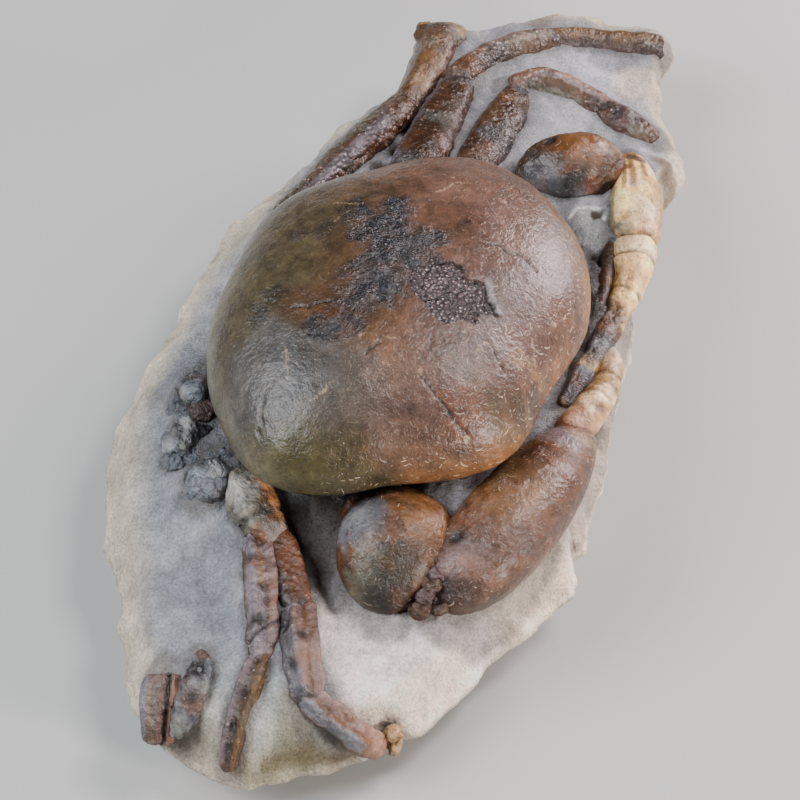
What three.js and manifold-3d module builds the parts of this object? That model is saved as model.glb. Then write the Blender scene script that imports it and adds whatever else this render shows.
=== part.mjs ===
// A fossil crab lying on its slab of stone. Millimetres, +Z up, +Y along the slab.
// The origin is the middle of the flat spot that the slab rests on.
import * as THREE from 'three';
import { mergeVertices } from 'three/addons/utils/BufferGeometryUtils.js';
import Module from 'manifold-3d';

const wasm = await Module();
wasm.setup();

// Space left between two pieces that touch.
const gap = 0.35;

// The widest line of the slab, clockwise from its far end: x, y, height of the edge,
// and how far in from the edge the top becomes level.
const slabEdge = [
  [5, 127, 30, 6], [16, 122, 32, 6], [28, 127, 30, 6], [46, 132, 30, 7], [58, 134, 28, 8],
  [62, 129, 28, 8], [74, 129, 26, 8], [79, 123, 24, 8], [77, 111, 22, 9], [76, 97, 22, 9],
  [79, 80, 22, 10], [81, 73, 20, 11], [80, 68, 18, 12], [72, 56, 18, 12], [69, 46, 18, 10],
  [65, 30, 18, 9], [62, 20, 18, 9], [60, 2, 18, 9], [55, -16, 18, 9], [52, -33, 17, 10],
  [49, -46, 16, 12], [44, -65, 15, 16], [41.5, -69, 15, 16], [42, -78, 15, 20], [34, -86, 14, 22],
  [19, -100, 13, 24], [10, -112, 12, 26], [-3, -123, 12, 26], [-20, -129, 10, 26],
  [-39, -135, 10, 24], [-52, -130, 10, 20], [-64, -121, 13, 14], [-71, -106, 15, 13],
  [-73, -85, 17, 12], [-78, -65, 18, 12], [-80, -38, 20, 12], [-75, -20, 22, 12],
  [-66, 1, 24, 11], [-57, 26, 27, 10], [-48, 44, 28, 9], [-34, 56, 30, 7], [-26, 71, 30, 6],
  [-12, 86, 30, 6], [-2, 99, 30, 6],
];
// Heights of the top of the stone at a few places: x, y, z. Between them it is blended.
const stoneLevels = [
  [-60, -50, 30], [-62, -90, 28], [-48, -112, 27], [-27, -108, 31], [-24, -80, 26], [0, -108, 29],
  [20, -95, 29], [40, -60, 30], [45, -20, 31], [55, 20, 32], [45, 55, 33], [65, 75, 30],
  [70, 115, 30], [30, 108, 35], [0, 98, 36], [15, 70, 37], [-20, 60, 37], [-45, 20, 34],
  [-60, -10, 32], [0, 0, 34],
];
const levelSoftness = 120;
const levelPower = 1.6;
const slab = {
  around: 76,
  // Shares of the way out from the middle on the top, and from the resting spot on the underside.
  topShares: [0.2, 0.38, 0.54, 0.67, 0.78, 0.86, 0.92, 0.96, 0.985],
  underShares: [0.97, 0.88, 0.74, 0.52, 0.26],
  underCurve: 2.3,
  underSwell: 0.8,
};
// The flat spot under the slab, an oval leaning from +Y towards +X, in degrees.
const restingSpot = { halfWidth: 27, halfLength: 48, lean: 18 };

// The carapace: radii every 30 degrees, counted from its front towards its left side.
const carapace = {
  centre: [-8.3, -21.3],
  heading: -26,
  radii: [48, 54.5, 62, 66, 54, 49.5, 43, 44, 50, 58, 49, 53.5],
  marginHeight: 50,
  domeHeight: 26,
  domeRoundness: 0.9,
  // Below the margin the sides tuck in: share of the radius, height.
  tuck: [[0.975, 48], [0.93, 45.5], [0.86, 41.5], [0.79, 36], [0.74, 30]],
  around: 36,
  domeRings: 10,
};

// Legs, claws and bits of shell: the middle line as x, y, z, half-width.
// high is height over width, blunt is how square the ends are.
const limbs = {
  right_claw_merus: { line: [[-18, -64, 36, 5], [-13, -68, 36, 6], [-8, -72, 36, 6]], high: 0.9 },
  right_claw_carpus: {
    line: [[-2, -66, 37, 11], [-3, -74, 37, 13.5], [-5, -84, 36, 14], [-6, -93, 34.5, 11], [-6, -99, 33, 7]],
    high: 0.85, blunt: 3, rings: 10, sides: 12,
  },
  right_claw_palm: {
    line: [[10, -95, 33, 6], [15, -88, 35, 10], [23, -77.5, 36, 11.5], [31, -65.5, 36.5, 11.5],
      [38.5, -53, 35, 9.5], [44.5, -43, 33, 5.5]],
    high: 0.9, blunt: 5, rings: 12, sides: 12,
  },
  right_claw_finger: {
    line: [[42.5, -40.5, 34, 4.5], [47.5, -32.5, 33, 4], [51.5, -24, 32, 3.5], [53.5, -15.5, 31, 2.5],
      [53, -9, 31, 1]],
    blunt: 7,
  },
  left_claw_carpus: {
    line: [[30, 52, 38, 4], [38, 55, 39, 7.5], [47, 56, 39, 8.5], [55, 56.5, 38, 7], [61, 57, 36, 4]],
    high: 1, blunt: 3, rings: 10, sides: 12,
  },
  left_claw_palm: {
    line: [[64, 61, 33, 3.5], [63.5, 50, 34.5, 5.5], [63.5, 39.5, 35, 6.5], [63, 32, 34, 6]],
    blunt: 6,
    // The fixed finger grows from the palm, on the inner side.
    spur: { line: [[59, 38, 34, 3], [55.5, 25, 33, 2.5], [53, 12.5, 33, 2], [50, 0, 32, 2], [48, -8, 32, 1]] },
  },
  left_claw_finger: {
    line: [[63, 29.5, 33, 4], [62, 22, 32.5, 5.5], [60, 15.5, 31, 4], [57.5, 7, 31, 3.5], [53, -3.5, 31, 3],
      [48.5, -14, 31.5, 3], [43.5, -24.5, 32, 2.5], [40.5, -31, 32, 2]],
    blunt: 10, rings: 12,
  },
  left_leg_1_upper: {
    line: [[14, 42, 37, 5], [18.5, 53.5, 38, 5.5], [22, 63, 38, 6.5], [27, 74, 38, 6], [31.5, 87, 36.5, 4]],
    blunt: 5,
  },
  left_leg_1_middle: {
    line: [[33, 92.5, 36, 2.5], [40, 94, 35.5, 3.5], [48, 91.5, 34.5, 4], [55.5, 87.5, 33, 3]],
    blunt: 8,
  },
  left_leg_1_tip: { line: [[57, 86, 32.5, 3], [64, 79.5, 32, 4], [70.5, 75, 31, 2.5]], blunt: 5 },
  left_leg_2_upper: {
    line: [[-6, 36, 37, 5], [-2, 48, 38.5, 6], [2, 61, 39, 7], [6, 73, 39, 6.5], [11, 85, 38, 5.5],
      [13.5, 91.5, 37.5, 4]],
    blunt: 8, rings: 10,
  },
  left_leg_2_middle: {
    line: [[14, 94.5, 37, 3.5], [21, 102.5, 36.5, 3.5], [30, 109, 36, 4], [37.5, 111.5, 36, 4],
      [42, 113, 35.5, 3.5]],
    blunt: 10,
  },
  left_leg_2_tip: {
    line: [[44, 114.5, 35, 3.5], [54.5, 116, 33.5, 3.5], [65, 116, 32, 4], [77, 116, 31, 3.5]],
    blunt: 12,
  },
  left_leg_3_upper: {
    line: [[-41, 26, 36, 2], [-35, 36.5, 37, 3], [-27, 46, 38, 4], [-17.5, 58.5, 38.5, 5.5],
      [-8, 71, 38.5, 5.5], [-2, 80.5, 38, 4.5]],
    blunt: 10, rings: 10,
  },
  left_leg_3_lower: {
    line: [[-1, 82, 38, 4], [2.5, 90.5, 37.5, 4], [6, 99.5, 37.5, 4.5], [9, 111, 37.5, 5.5], [9.5, 116, 37, 5]],
    blunt: 12,
  },
  right_leg_base: {
    line: [[-44, -57, 34, 3.5], [-42, -63, 34, 5], [-39.5, -70, 33, 5.5], [-36.5, -76, 31.5, 4]],
    blunt: 5, high: 1,
  },
  right_leg_1_upper: {
    line: [[-34, -76, 31, 2.5], [-32, -83, 31, 3], [-30, -91, 31, 3], [-28, -95.5, 31, 2.5]],
    blunt: 8,
  },
  right_leg_1_middle: {
    line: [[-28, -97.5, 31, 3.5], [-28, -105, 32, 4.5], [-27, -112, 31.5, 4.5], [-25.5, -119, 28.5, 4]],
    blunt: 6,
  },
  right_leg_1_tip: {
    line: [[-24.5, -120, 27, 3.5], [-18.5, -124, 23.5, 3.5], [-14, -125.5, 19, 3.5], [-8.5, -126, 14, 3]],
    blunt: 8,
  },
  right_leg_2_upper: {
    line: [[-38.5, -76, 30.5, 2.5], [-37.5, -83, 31, 3], [-37, -92.5, 31, 3.5], [-36.5, -101.5, 31, 3.5],
      [-36, -109.5, 30, 2.5]],
    blunt: 10,
  },
  right_leg_2_lower: {
    line: [[-38, -114, 29, 2.5], [-40, -120.5, 27, 2.5], [-42.5, -127.5, 22.5, 2.5], [-44.5, -134, 14, 2]],
    blunt: 10,
  },
  leg_stub_1: { line: [[-58.5, -33, 33, 4], [-55, -28, 33.5, 5], [-53.5, -23, 34, 4]], high: 1, rings: 6 },
  leg_stub_2: { line: [[-60, -50, 32, 3.5], [-58.5, -45, 32, 4.5], [-58, -40, 32, 3.5]], high: 1, rings: 6 },
  leg_stub_3: { line: [[-54, -63, 32, 4], [-51.5, -59.5, 32, 5.5], [-50, -55, 33, 4]], high: 1, rings: 6 },
  shell_fragment_1: { line: [[-59.5, -113, 26, 2.5], [-60, -120, 23, 3], [-60.5, -127, 16, 2.5]] },
  leg_tip_fragment: { line: [[-4.5, -127, 12.5, 1.5], [-4, -124.5, 13.5, 2], [-3.5, -122, 14, 1.5]], rings: 5 },
  shell_fragment_2: { line: [[-52, -108, 28, 2], [-52.5, -116, 26.5, 2.5], [-54, -125, 21.5, 2.5]] },
};
// Lumps of the same stone that stand up beside the claws.
const stoneLumps = {
  knob: { line: [[49, 39, 34, 5], [50, 33, 35, 6.5], [50.5, 27, 34, 4]], high: 1 },
  ridge: { line: [[44, 34, 35, 4], [48.5, 15, 34, 5], [49, -4, 33.5, 4], [45, -20, 32, 3]], blunt: 10 },
};

const colours = {
  stone: 0xa9a49a, carapace: 0x6b4434, claw: 0x6e4127, palePalm: 0xb39a73, leg: 0x5d4636, stub: 0x6f6a68,
};

// A smooth curve through rows of numbers, at t from 0 to 1.
function along(rows, t, closed = false) {
  const spans = closed ? rows.length : rows.length - 1;
  const place = Math.min(Math.max(t, 0), 1) * spans;
  const i = Math.min(Math.floor(place), spans - 1);
  const f = place - i;
  const row = (k) => closed
    ? rows[(k + rows.length) % rows.length]
    : rows[Math.min(Math.max(k, 0), rows.length - 1)];
  const [a, b, c, d] = [row(i - 1), row(i), row(i + 1), row(i + 2)];
  return b.map((_, n) => b[n] + 0.5 * f * (c[n] - a[n]
    + f * (2 * a[n] - 5 * b[n] + 4 * c[n] - d[n] + f * (3 * (b[n] - c[n]) + d[n] - a[n]))));
}

// A closed solid from rings of points between two end points.
function sleeve(start, rings, end) {
  const n = rings[0].length;
  const points = [start, ...rings.flat(), end];
  const last = points.length - 1;
  const faces = [];
  for (let k = 0; k < n; k += 1) {
    const next = (k + 1) % n;
    faces.push([0, 1 + next, 1 + k]);
    faces.push([last, last - n + k, last - n + next]);
    for (let r = 0; r < rings.length - 1; r += 1) {
      const here = 1 + r * n;
      faces.push([here + k, here + next, here + n + k]);
      faces.push([here + next, here + n + next, here + n + k]);
    }
  }
  return toSolid(points, faces);
}

// A manifold solid, turned the right way out.
function toSolid(points, faces) {
  const volume = faces.reduce((sum, [i, j, k]) => {
    const [a, b, c] = [points[i], points[j], points[k]].map((p) => new THREE.Vector3(...p));
    return sum + a.dot(b.cross(c));
  }, 0);
  const geometry = new THREE.BufferGeometry();
  geometry.setAttribute('position', new THREE.Float32BufferAttribute(points.flat(), 3));
  geometry.setIndex(faces.flatMap((face) => (volume > 0 ? face : [...face].reverse())));
  const merged = mergeVertices(geometry, 1e-4);
  return new wasm.Manifold(new wasm.Mesh({
    numProp: 3,
    vertProperties: new Float32Array(merged.attributes.position.array),
    triVerts: new Uint32Array(merged.index.array),
  }));
}

// The largest connected part of a solid, so that a cut leaves no crumbs.
function largest(solid) {
  const parts = solid.decompose();
  return parts.reduce((best, part) => (part.volume() > best.volume() ? part : best));
}

// Level of the stone away from its edges: nearby levels count most.
function plateau(x, y) {
  let total = 0;
  let weights = 0;
  for (const [levelX, levelY, level] of stoneLevels) {
    const weight = ((x - levelX) ** 2 + (y - levelY) ** 2 + levelSoftness) ** -levelPower;
    total += weight * level;
    weights += weight;
  }
  return total / weights;
}

// A point of the top at a share of the way out to the edge row.
function topPoint([edgeX, edgeY, edgeZ, bevel], share) {
  const x = edgeX * share;
  const y = edgeY * share;
  const inward = Math.min((1 - share) * Math.hypot(edgeX, edgeY) / bevel, 1);
  return [x, y, edgeZ + (plateau(x, y) - edgeZ) * Math.sqrt(1 - (1 - inward) ** 2)];
}

// A point of the underside: level at the resting spot, then curving up to the edge.
function underPoint([edgeX, edgeY, edgeZ], share) {
  const [spotX, spotY] = spotPoint(edgeX, edgeY);
  const rise = 1 - (1 - share ** slab.underCurve) ** slab.underSwell;
  return [spotX + (edgeX - spotX) * share, spotY + (edgeY - spotY) * share, edgeZ * rise];
}

// The point of the resting spot's rim that lies towards a point of the edge.
function spotPoint(edgeX, edgeY) {
  const { halfWidth, halfLength, lean } = restingSpot;
  const angle = Math.atan2(edgeY, edgeX);
  const turned = angle + THREE.MathUtils.degToRad(lean);
  const radius = 1 / Math.hypot(Math.cos(turned) / halfWidth, Math.sin(turned) / halfLength);
  return [radius * Math.cos(angle), radius * Math.sin(angle)];
}

function makeStone() {
  const edge = Array.from({ length: slab.around }, (_, k) => along(slabEdge, k / slab.around, true));
  const rings = [
    ...slab.topShares.map((share) => edge.map((row) => topPoint(row, share))),
    edge.map(([x, y, z]) => [x, y, z]),
    ...slab.underShares.map((share) => edge.map((row) => underPoint(row, share))),
    edge.map(([x, y]) => [...spotPoint(x, y), 0]),
  ];
  return sleeve([0, 0, plateau(0, 0)], rings, [0, 0, 0]);
}

// The domed carapace, made `swell` larger all round where it is used to cut its neighbours.
function makeCarapace(swell = 0) {
  const { centre, marginHeight, domeHeight, tuck } = carapace;
  const heading = THREE.MathUtils.degToRad(carapace.heading);
  const ring = (share, z) => Array.from({ length: carapace.around }, (_, k) => {
    const turn = k / carapace.around;
    const radius = along(carapace.radii.map((r) => [r]), turn, true)[0] * share + swell;
    const angle = heading + turn * 2 * Math.PI;
    return [centre[0] + radius * Math.cos(angle), centre[1] + radius * Math.sin(angle), z];
  });
  const dome = Array.from({ length: carapace.domeRings }, (_, k) => {
    const rise = (1 - (k + 1) / carapace.domeRings) * Math.PI / 2;
    return ring(Math.cos(rise) ** carapace.domeRoundness, marginHeight + (domeHeight + swell) * Math.sin(rise));
  });
  const base = tuck[tuck.length - 1][1] - swell;
  const sides = tuck.map(([share, z], k) => ring(share, k === tuck.length - 1 ? base : z));
  return sleeve([...centre, marginHeight + domeHeight + swell], [...dome, ...sides], [...centre, base]);
}

// A rounded limb along its middle line, made `swell` larger where it cuts its neighbours.
function makeLimb({ line, spur, high = 0.85, blunt = 3, rings = 7, sides = 8 }, swell = 0) {
  const at = (t) => {
    const [x, y, z, radius] = along(line, t);
    return { middle: new THREE.Vector3(x, y, z), radius };
  };
  const step = 0.01;
  const direction = (t) => at(Math.min(t + step, 1)).middle.sub(at(Math.max(t - step, 0)).middle).normalize();
  const loop = Array.from({ length: rings - 1 }, (_, k) => {
    const t = 0.5 - 0.5 * Math.cos(Math.PI * (k + 1) / rings);
    const { middle, radius } = at(t);
    const forward = direction(t);
    const side = new THREE.Vector3(0, 0, 1).cross(forward).normalize();
    const up = forward.clone().cross(side);
    const width = radius * Math.sqrt(1 - Math.abs(2 * t - 1) ** blunt) + swell;
    return Array.from({ length: sides }, (__, n) => {
      const angle = n / sides * 2 * Math.PI;
      const across = side.clone().multiplyScalar(width * Math.cos(angle));
      const rise = up.clone().multiplyScalar((width - swell) * high * Math.sin(angle) + swell * Math.sin(angle));
      return middle.clone().add(across).add(rise).toArray();
    });
  });
  const start = at(0).middle.addScaledVector(direction(0), -swell);
  const end = at(1).middle.addScaledVector(direction(1), swell);
  const body = sleeve(start.toArray(), loop, end.toArray());
  return spur ? body.add(makeLimb(spur, swell)) : body;
}

// Whether two solids' boxes meet.
function meets(a, b) {
  const [p, q] = [a.boundingBox(), b.boundingBox()];
  return [0, 1, 2].every((n) => p.min[n] <= q.max[n] && q.min[n] <= p.max[n]);
}

function toMesh(name, solid, color, roughness) {
  const { vertProperties, triVerts } = solid.getMesh();
  const geometry = new THREE.BufferGeometry();
  geometry.setAttribute('position', new THREE.BufferAttribute(vertProperties, 3));
  geometry.setIndex(new THREE.BufferAttribute(triVerts, 1));
  geometry.computeVertexNormals();
  const mesh = new THREE.Mesh(geometry, new THREE.MeshStandardMaterial({ color, roughness, metalness: 0 }));
  mesh.name = name;
  return mesh;
}

function limbColour(name) {
  if (name.startsWith('left_claw_palm')) return colours.palePalm;
  if (name.includes('claw')) return colours.claw;
  return name.includes('stub') ? colours.stub : colours.leg;
}

const group = new THREE.Group();
const cutters = [makeCarapace(gap)];
group.add(toMesh('carapace', makeCarapace(), colours.carapace, 0.35));

for (const [name, shape] of Object.entries(limbs)) {
  let solid = makeLimb(shape);
  for (const cutter of cutters) {
    if (meets(solid, cutter)) solid = solid.subtract(cutter);
  }
  group.add(toMesh(name, largest(solid), limbColour(name), 0.4));
  cutters.push(makeLimb(shape, gap));
}

let stone = makeStone();
for (const lump of Object.values(stoneLumps)) stone = stone.add(makeLimb(lump));
for (const cutter of cutters) stone = stone.subtract(cutter);
group.add(toMesh('stone_slab', largest(stone), colours.stone, 0.9));

export default group;
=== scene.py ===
import math

import bpy
import numpy as np
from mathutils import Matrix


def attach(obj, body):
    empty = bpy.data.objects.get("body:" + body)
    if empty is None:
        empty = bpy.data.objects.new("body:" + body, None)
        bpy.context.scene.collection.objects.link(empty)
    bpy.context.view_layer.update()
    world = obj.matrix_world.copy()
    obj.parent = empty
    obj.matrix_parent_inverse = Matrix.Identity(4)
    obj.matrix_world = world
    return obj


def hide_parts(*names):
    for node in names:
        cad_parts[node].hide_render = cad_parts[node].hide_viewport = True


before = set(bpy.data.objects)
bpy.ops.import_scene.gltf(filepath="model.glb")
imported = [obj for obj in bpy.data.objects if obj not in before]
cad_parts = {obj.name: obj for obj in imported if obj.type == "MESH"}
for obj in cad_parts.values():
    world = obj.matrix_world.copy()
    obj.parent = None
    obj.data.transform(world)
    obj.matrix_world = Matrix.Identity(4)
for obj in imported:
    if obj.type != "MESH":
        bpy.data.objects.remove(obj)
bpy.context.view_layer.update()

# A fossil crab on its slab of stone. Shapes are worked out in millimetres and put into the meshes in metres.
mm = 0.001
print("frame loaded")

view = {
    "target": (-3, -36, 40),
    "distance": 620,
    "elevation": 48,   # degrees above the slab
    "lens": 108,
    "sensor": 36,
}

# Soft boxes: where they stand in millimetres, their size, power in watts and colour.
lamps = {
    "overhead": {"place": (380, 60, 740), "size": (240, 240), "power": 4.3, "colour": (1.0, 0.975, 0.96)},
    "leftBox": {"place": (-560, -165, 610), "size": (560, 560), "power": 9.2, "colour": (0.90, 0.95, 1.0)},
    "rightBack": {"place": (570, 470, 290), "size": (300, 260), "power": 7.2, "colour": (1.0, 0.87, 0.91)},
    "front": {"place": (600, -520, 300), "size": (160, 160), "power": 6.5, "colour": (1.0, 0.95, 0.9)},
}
lampTarget = (0, -20, 50)
worldLight = {"colour": (0.86, 0.89, 0.93), "strength": 0.05}
floorLook = {"reach": 3.0, "colour": (0.5, 0.495, 0.485, 1), "roughness": 0.9}   # reach in metres

# Colours that several pieces share.
palette = {
    "umber": (0.060, 0.027, 0.013),
    "brown": (0.105, 0.044, 0.018),
    "redBrown": (0.130, 0.045, 0.020),
    "rust": (0.24, 0.072, 0.025),
    "orange": (0.26, 0.105, 0.028),
    "ochre": (0.24, 0.125, 0.040),
    "tan": (0.42, 0.25, 0.11),
    "cream": (0.72, 0.50, 0.30),
    "straw": (0.95, 0.58, 0.21),
    "pink": (0.30, 0.15, 0.10),
    "mauve": (0.20, 0.125, 0.115),
    "lavender": (0.20, 0.17, 0.20),
    "greyGreen": (0.125, 0.125, 0.095),
    "olive": (0.105, 0.085, 0.042),
    "moss": (0.050, 0.042, 0.016),
    "slate": (0.12, 0.13, 0.155),
    "ash": (0.24, 0.235, 0.235),
    "charcoal": (0.032, 0.030, 0.032),
    "pit": (0.012, 0.010, 0.009),
    "plum": (0.085, 0.048, 0.048),
}


def makeCamera():
    # Level from side to side, it stands back from its target by its distance, raised by its elevation.
    rise = math.radians(view["elevation"])
    data = bpy.data.cameras.new("camera")
    data.lens = view["lens"]
    data.sensor_width = view["sensor"]
    camera = bpy.data.objects.new("camera", data)
    back = np.array([0, -math.cos(rise), math.sin(rise)])
    camera.location = (np.array(view["target"]) + view["distance"] * back) * mm
    camera.rotation_euler = (math.pi / 2 - rise, 0, 0)
    bpy.context.collection.objects.link(camera)
    bpy.context.scene.camera = camera


def makeLights():
    # Each lamp is turned so that the middle of its sheet faces the target.
    for name, lamp in lamps.items():
        data = bpy.data.lights.new(name, "AREA")
        data.shape = "RECTANGLE"
        data.size, data.size_y = (side * mm for side in lamp["size"])
        data.energy = lamp["power"]
        data.color = lamp["colour"]
        light = bpy.data.objects.new(name, data)
        place = np.array(lamp["place"], float)
        aim = np.array(lampTarget) - place
        aim /= np.linalg.norm(aim)
        light.location = place * mm
        light.rotation_euler = (math.acos(-aim[2]), 0, math.atan2(aim[1], aim[0]) - math.pi / 2)
        bpy.context.collection.objects.link(light)
    world = bpy.data.worlds.new("room")
    world.use_nodes = True
    background = world.node_tree.nodes["Background"]
    background.inputs["Color"].default_value = (*worldLight["colour"], 1)
    background.inputs["Strength"].default_value = worldLight["strength"]
    bpy.context.scene.world = world


def along(rows, t, closed=False):
    # A smooth curve through rows of numbers: each stretch is a cubic that leaves and meets its rows
    # in the direction of the rows on either side.
    rows = np.asarray(rows, float)
    t = np.asarray(t, float)
    count = len(rows)
    spans = count if closed else count - 1
    place = np.clip(t, 0, 1) * spans
    i = np.minimum(np.floor(place).astype(int), spans - 1)
    f = (place - i)[..., None]
    pick = (lambda k: rows[k % count]) if closed else (lambda k: rows[np.clip(k, 0, count - 1)])
    a, b, c, d = pick(i - 1), pick(i), pick(i + 1), pick(i + 2)
    return b + 0.5 * f * (c - a + f * (2 * a - 5 * b + 4 * c - d + f * (3 * (b - c) + d - a)))


def latticeNoise(points, seed):
    # Smooth noise from -1 to 1: a scrambled value at each whole-number corner, eased between corners.
    cell = np.floor(points).astype(np.int64)
    ease = points - cell
    ease = ease * ease * (3 - 2 * ease)
    total = 0
    for corner in range(8):
        step = np.array([corner & 1, corner >> 1 & 1, corner >> 2 & 1])
        k = cell + step
        mixed = k[..., 0] * 73856093 ^ k[..., 1] * 19349663 ^ k[..., 2] * 83492791 ^ (seed * 7919 + 101)
        mixed = (mixed & 0xffffffff) * 2246822519 & 0xffffffff
        mixed = (mixed ^ mixed >> 15) * 3266489917 & 0xffffffff
        mixed = mixed ^ mixed >> 13
        weight = np.prod(np.where(step, ease, 1 - ease), axis=-1)
        total = total + weight * (mixed / 2 ** 31 - 1)
    return total


def noise(points, size, layers=3, seed=0, falloff=0.5):
    # Layers of lattice noise, each half the size and `falloff` times the height of the one before.
    total, height, reach = 0, 1, 0
    for layer in range(layers):
        total = total + height * latticeNoise(points / size * 2 ** layer + 17.3 * layer, seed + layer)
        reach += height
        height *= falloff
    return total / reach


def smooth(value, low, high):
    # An even step from 0 at `low` to 1 at `high`.
    t = np.clip((value - low) / (high - low), 0, 1)
    return t * t * (3 - 2 * t)


def stretch(t, begin, end, soft, ragged=0):
    # 1 from `begin` to `end`, falling to 0 over `soft` on either side of both.
    return smooth(t + ragged, begin - soft, begin + soft) * (1 - smooth(t, end - soft, end + soft))


def blend(first, second, mask):
    # From the first colour to the second, by a mask that is held between 0 and 1.
    return first + (np.asarray(second) - first) * np.clip(mask, 0, 1)[..., None]


def planDistance(points, x, y):
    # Distance in plan from each point to one place.
    return np.hypot(points[..., 0] - x, points[..., 1] - y)


def lineDistance(points, line):
    # Distance in plan from each point to the nearest stretch of a broken line.
    nearest = np.full(points.shape[:-1], 1e6)
    for (ax, ay), (bx, by) in zip(line[:-1], line[1:]):
        px, py = points[..., 0] - ax, points[..., 1] - ay
        dx, dy = bx - ax, by - ay
        t = np.clip((px * dx + py * dy) / (dx * dx + dy * dy), 0, 1)
        nearest = np.minimum(nearest, np.hypot(px - t * dx, py - t * dy))
    return nearest


def polygonMask(points, corners, soft):
    # 1 inside a many-sided outline in plan, 0 outside: each crossing of a side to the right turns
    # in to out, and the distance to the sides softens the change.
    inside = np.zeros(points.shape[:-1], bool)
    x, y = points[..., 0], points[..., 1]
    closed = corners + corners[:1]
    for (ax, ay), (bx, by) in zip(closed[:-1], closed[1:]):
        if ay != by:
            inside ^= ((ay > y) != (by > y)) & (x < (bx - ax) * (y - ay) / (by - ay) + ax)
    away = lineDistance(points, closed) * np.where(inside, 1, -1)
    return smooth(away, -soft, soft)


def shaken(points, size, depth, seed):
    # The points moved about by noise, so that what is drawn with them gets an uneven edge.
    shift = np.stack([noise(points, size, 3, seed), noise(points, size, 3, seed + 50)], axis=-1)
    moved = points.copy()
    moved[..., :2] += depth * shift
    return moved


def paintSpots(tint, points, spots):
    # Soft spots in plan, one over the other: x, y, radius, colour name, strength.
    for x, y, radius, colour, strength in spots:
        away = planDistance(points, x, y) / radius
        tint = blend(tint, palette[colour], strength * (1 - smooth(away, 0.45, 1.0)))
    return tint


def chipped(points, size, seed):
    # Shallow bowls that meet at ridges, from 0 to about 1: the squared distance to the nearest
    # point of a grid whose points are each moved a little at random.
    cell = np.floor(points / size)
    nearest = np.full(points.shape[:-1], 9.0)
    for k in range(27):
        corner = cell + (k % 3 - 1, k // 3 % 3 - 1, k // 9 - 1)
        jitter = np.stack([latticeNoise(corner, seed + axis) for axis in range(3)], axis=-1)
        away = corner + 0.5 + 0.45 * jitter - points / size
        nearest = np.minimum(nearest, (away ** 2).sum(axis=-1))
    return nearest


def outwardNormals(rings):
    # The normal of a closed band of rings: across one ring's direction and the step to the next ring.
    down = np.gradient(rings, axis=0)
    around = np.roll(rings, -1, axis=1) - np.roll(rings, 1, axis=1)
    normal = np.cross(down, around)
    normal /= np.maximum(np.linalg.norm(normal, axis=-1, keepdims=True), 1e-9)
    outward = ((rings - rings.mean(axis=1, keepdims=True)) * normal).sum()
    return normal if outward > 0 else -normal


def bandFaces(points, ringCount, around):
    # Quads between neighbouring rings and triangles to the point at each end, all facing outwards.
    here = np.arange(ringCount * around).reshape(ringCount, around)
    right = np.roll(here, -1, axis=1)
    quads = np.stack([here[:-1], here[1:], right[1:], right[:-1]], axis=-1).reshape(-1, 4)
    top, bottom = len(points) - 2, len(points) - 1
    cap = np.stack([np.full(around, top), here[0], right[0]], axis=-1)
    base = np.stack([np.full(around, bottom), right[-1], here[-1]], axis=-1)
    a, b, c = (points[quads[:, k]] for k in range(3))
    if (np.cross(b - a, c - a) * (a - points.mean(axis=0))).sum() < 0:
        quads, cap, base = quads[:, ::-1], cap[:, ::-1], base[:, ::-1]
    return quads, np.concatenate([cap, base])


def withEnds(values):
    # The values ring after ring, and then the middle of the first ring and of the last.
    flat = values.reshape(-1, *values.shape[2:])
    return np.concatenate([flat, [values[0].mean(axis=0), values[-1].mean(axis=0)]])


def makeBand(rings, tint, **marks):
    # A closed band: its rings of points, their tint, and marks that are numbers or have one value a point.
    return {"rings": rings, "tint": tint,
            "marks": {key: np.broadcast_to(value, rings.shape[:2]) for key, value in marks.items()}}


def makePiece(name, bands, material, node):
    # One mesh of one or more closed bands.
    points, faces, marks, tints, start = [], [], {}, [], 0
    for band in bands:
        own = withEnds(band["rings"])
        quads, caps = bandFaces(own, *band["rings"].shape[:2])
        faces += (quads + start).tolist() + (caps + start).tolist()
        points.append(own)
        tints.append(withEnds(band["tint"]))
        for key, values in band["marks"].items():
            marks.setdefault(key, []).append(withEnds(values))
        start += len(own)
    mesh = bpy.data.meshes.new(name)
    mesh.from_pydata((np.concatenate(points) * mm).tolist(), [], faces)
    mesh.shade_smooth()
    for key, values in marks.items():
        flat = np.concatenate(values).astype(np.float32)
        mesh.attributes.new(key, "FLOAT", "POINT").data.foreach_set("value", flat)
    flat = np.clip(np.concatenate(tints), 0, 1)
    flat = np.concatenate([flat, np.ones((len(flat), 1))], axis=1).astype(np.float32)
    mesh.attributes.new("tint", "FLOAT_COLOR", "POINT").data.foreach_set("color", flat.reshape(-1))
    mesh.materials.append(material)
    piece = bpy.data.objects.new(name, mesh)
    bpy.context.collection.objects.link(piece)
    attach(piece, "root")
    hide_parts(node)


class Wire:
    # A shader socket that takes part in sums, with a number or another socket on either side.
    def __init__(self, finish, socket):
        self.finish = finish
        self.socket = socket

    def maths(self, operation, *others, swapped=False):
        values = (*others, self) if swapped else (self, *others)
        return self.finish.node("Math", {"operation": operation}, dict(enumerate(values)))

    def __add__(self, other):
        return self.maths("ADD", other)

    def __sub__(self, other):
        return self.maths("SUBTRACT", other)

    def __rsub__(self, other):
        return self.maths("SUBTRACT", other, swapped=True)

    def __mul__(self, other):
        return self.maths("MULTIPLY", other)

    def __truediv__(self, other):
        return self.maths("DIVIDE", other)

    __radd__ = __add__
    __rmul__ = __mul__

    def step(self, low, high):
        # From 0 at `low` to 1 at `high`, evenly; the other way round where low is the larger.
        return self.finish.node("MapRange", {"interpolation_type": "SMOOTHSTEP"},
                                {"Value": self, "From Min": low, "From Max": high})


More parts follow.
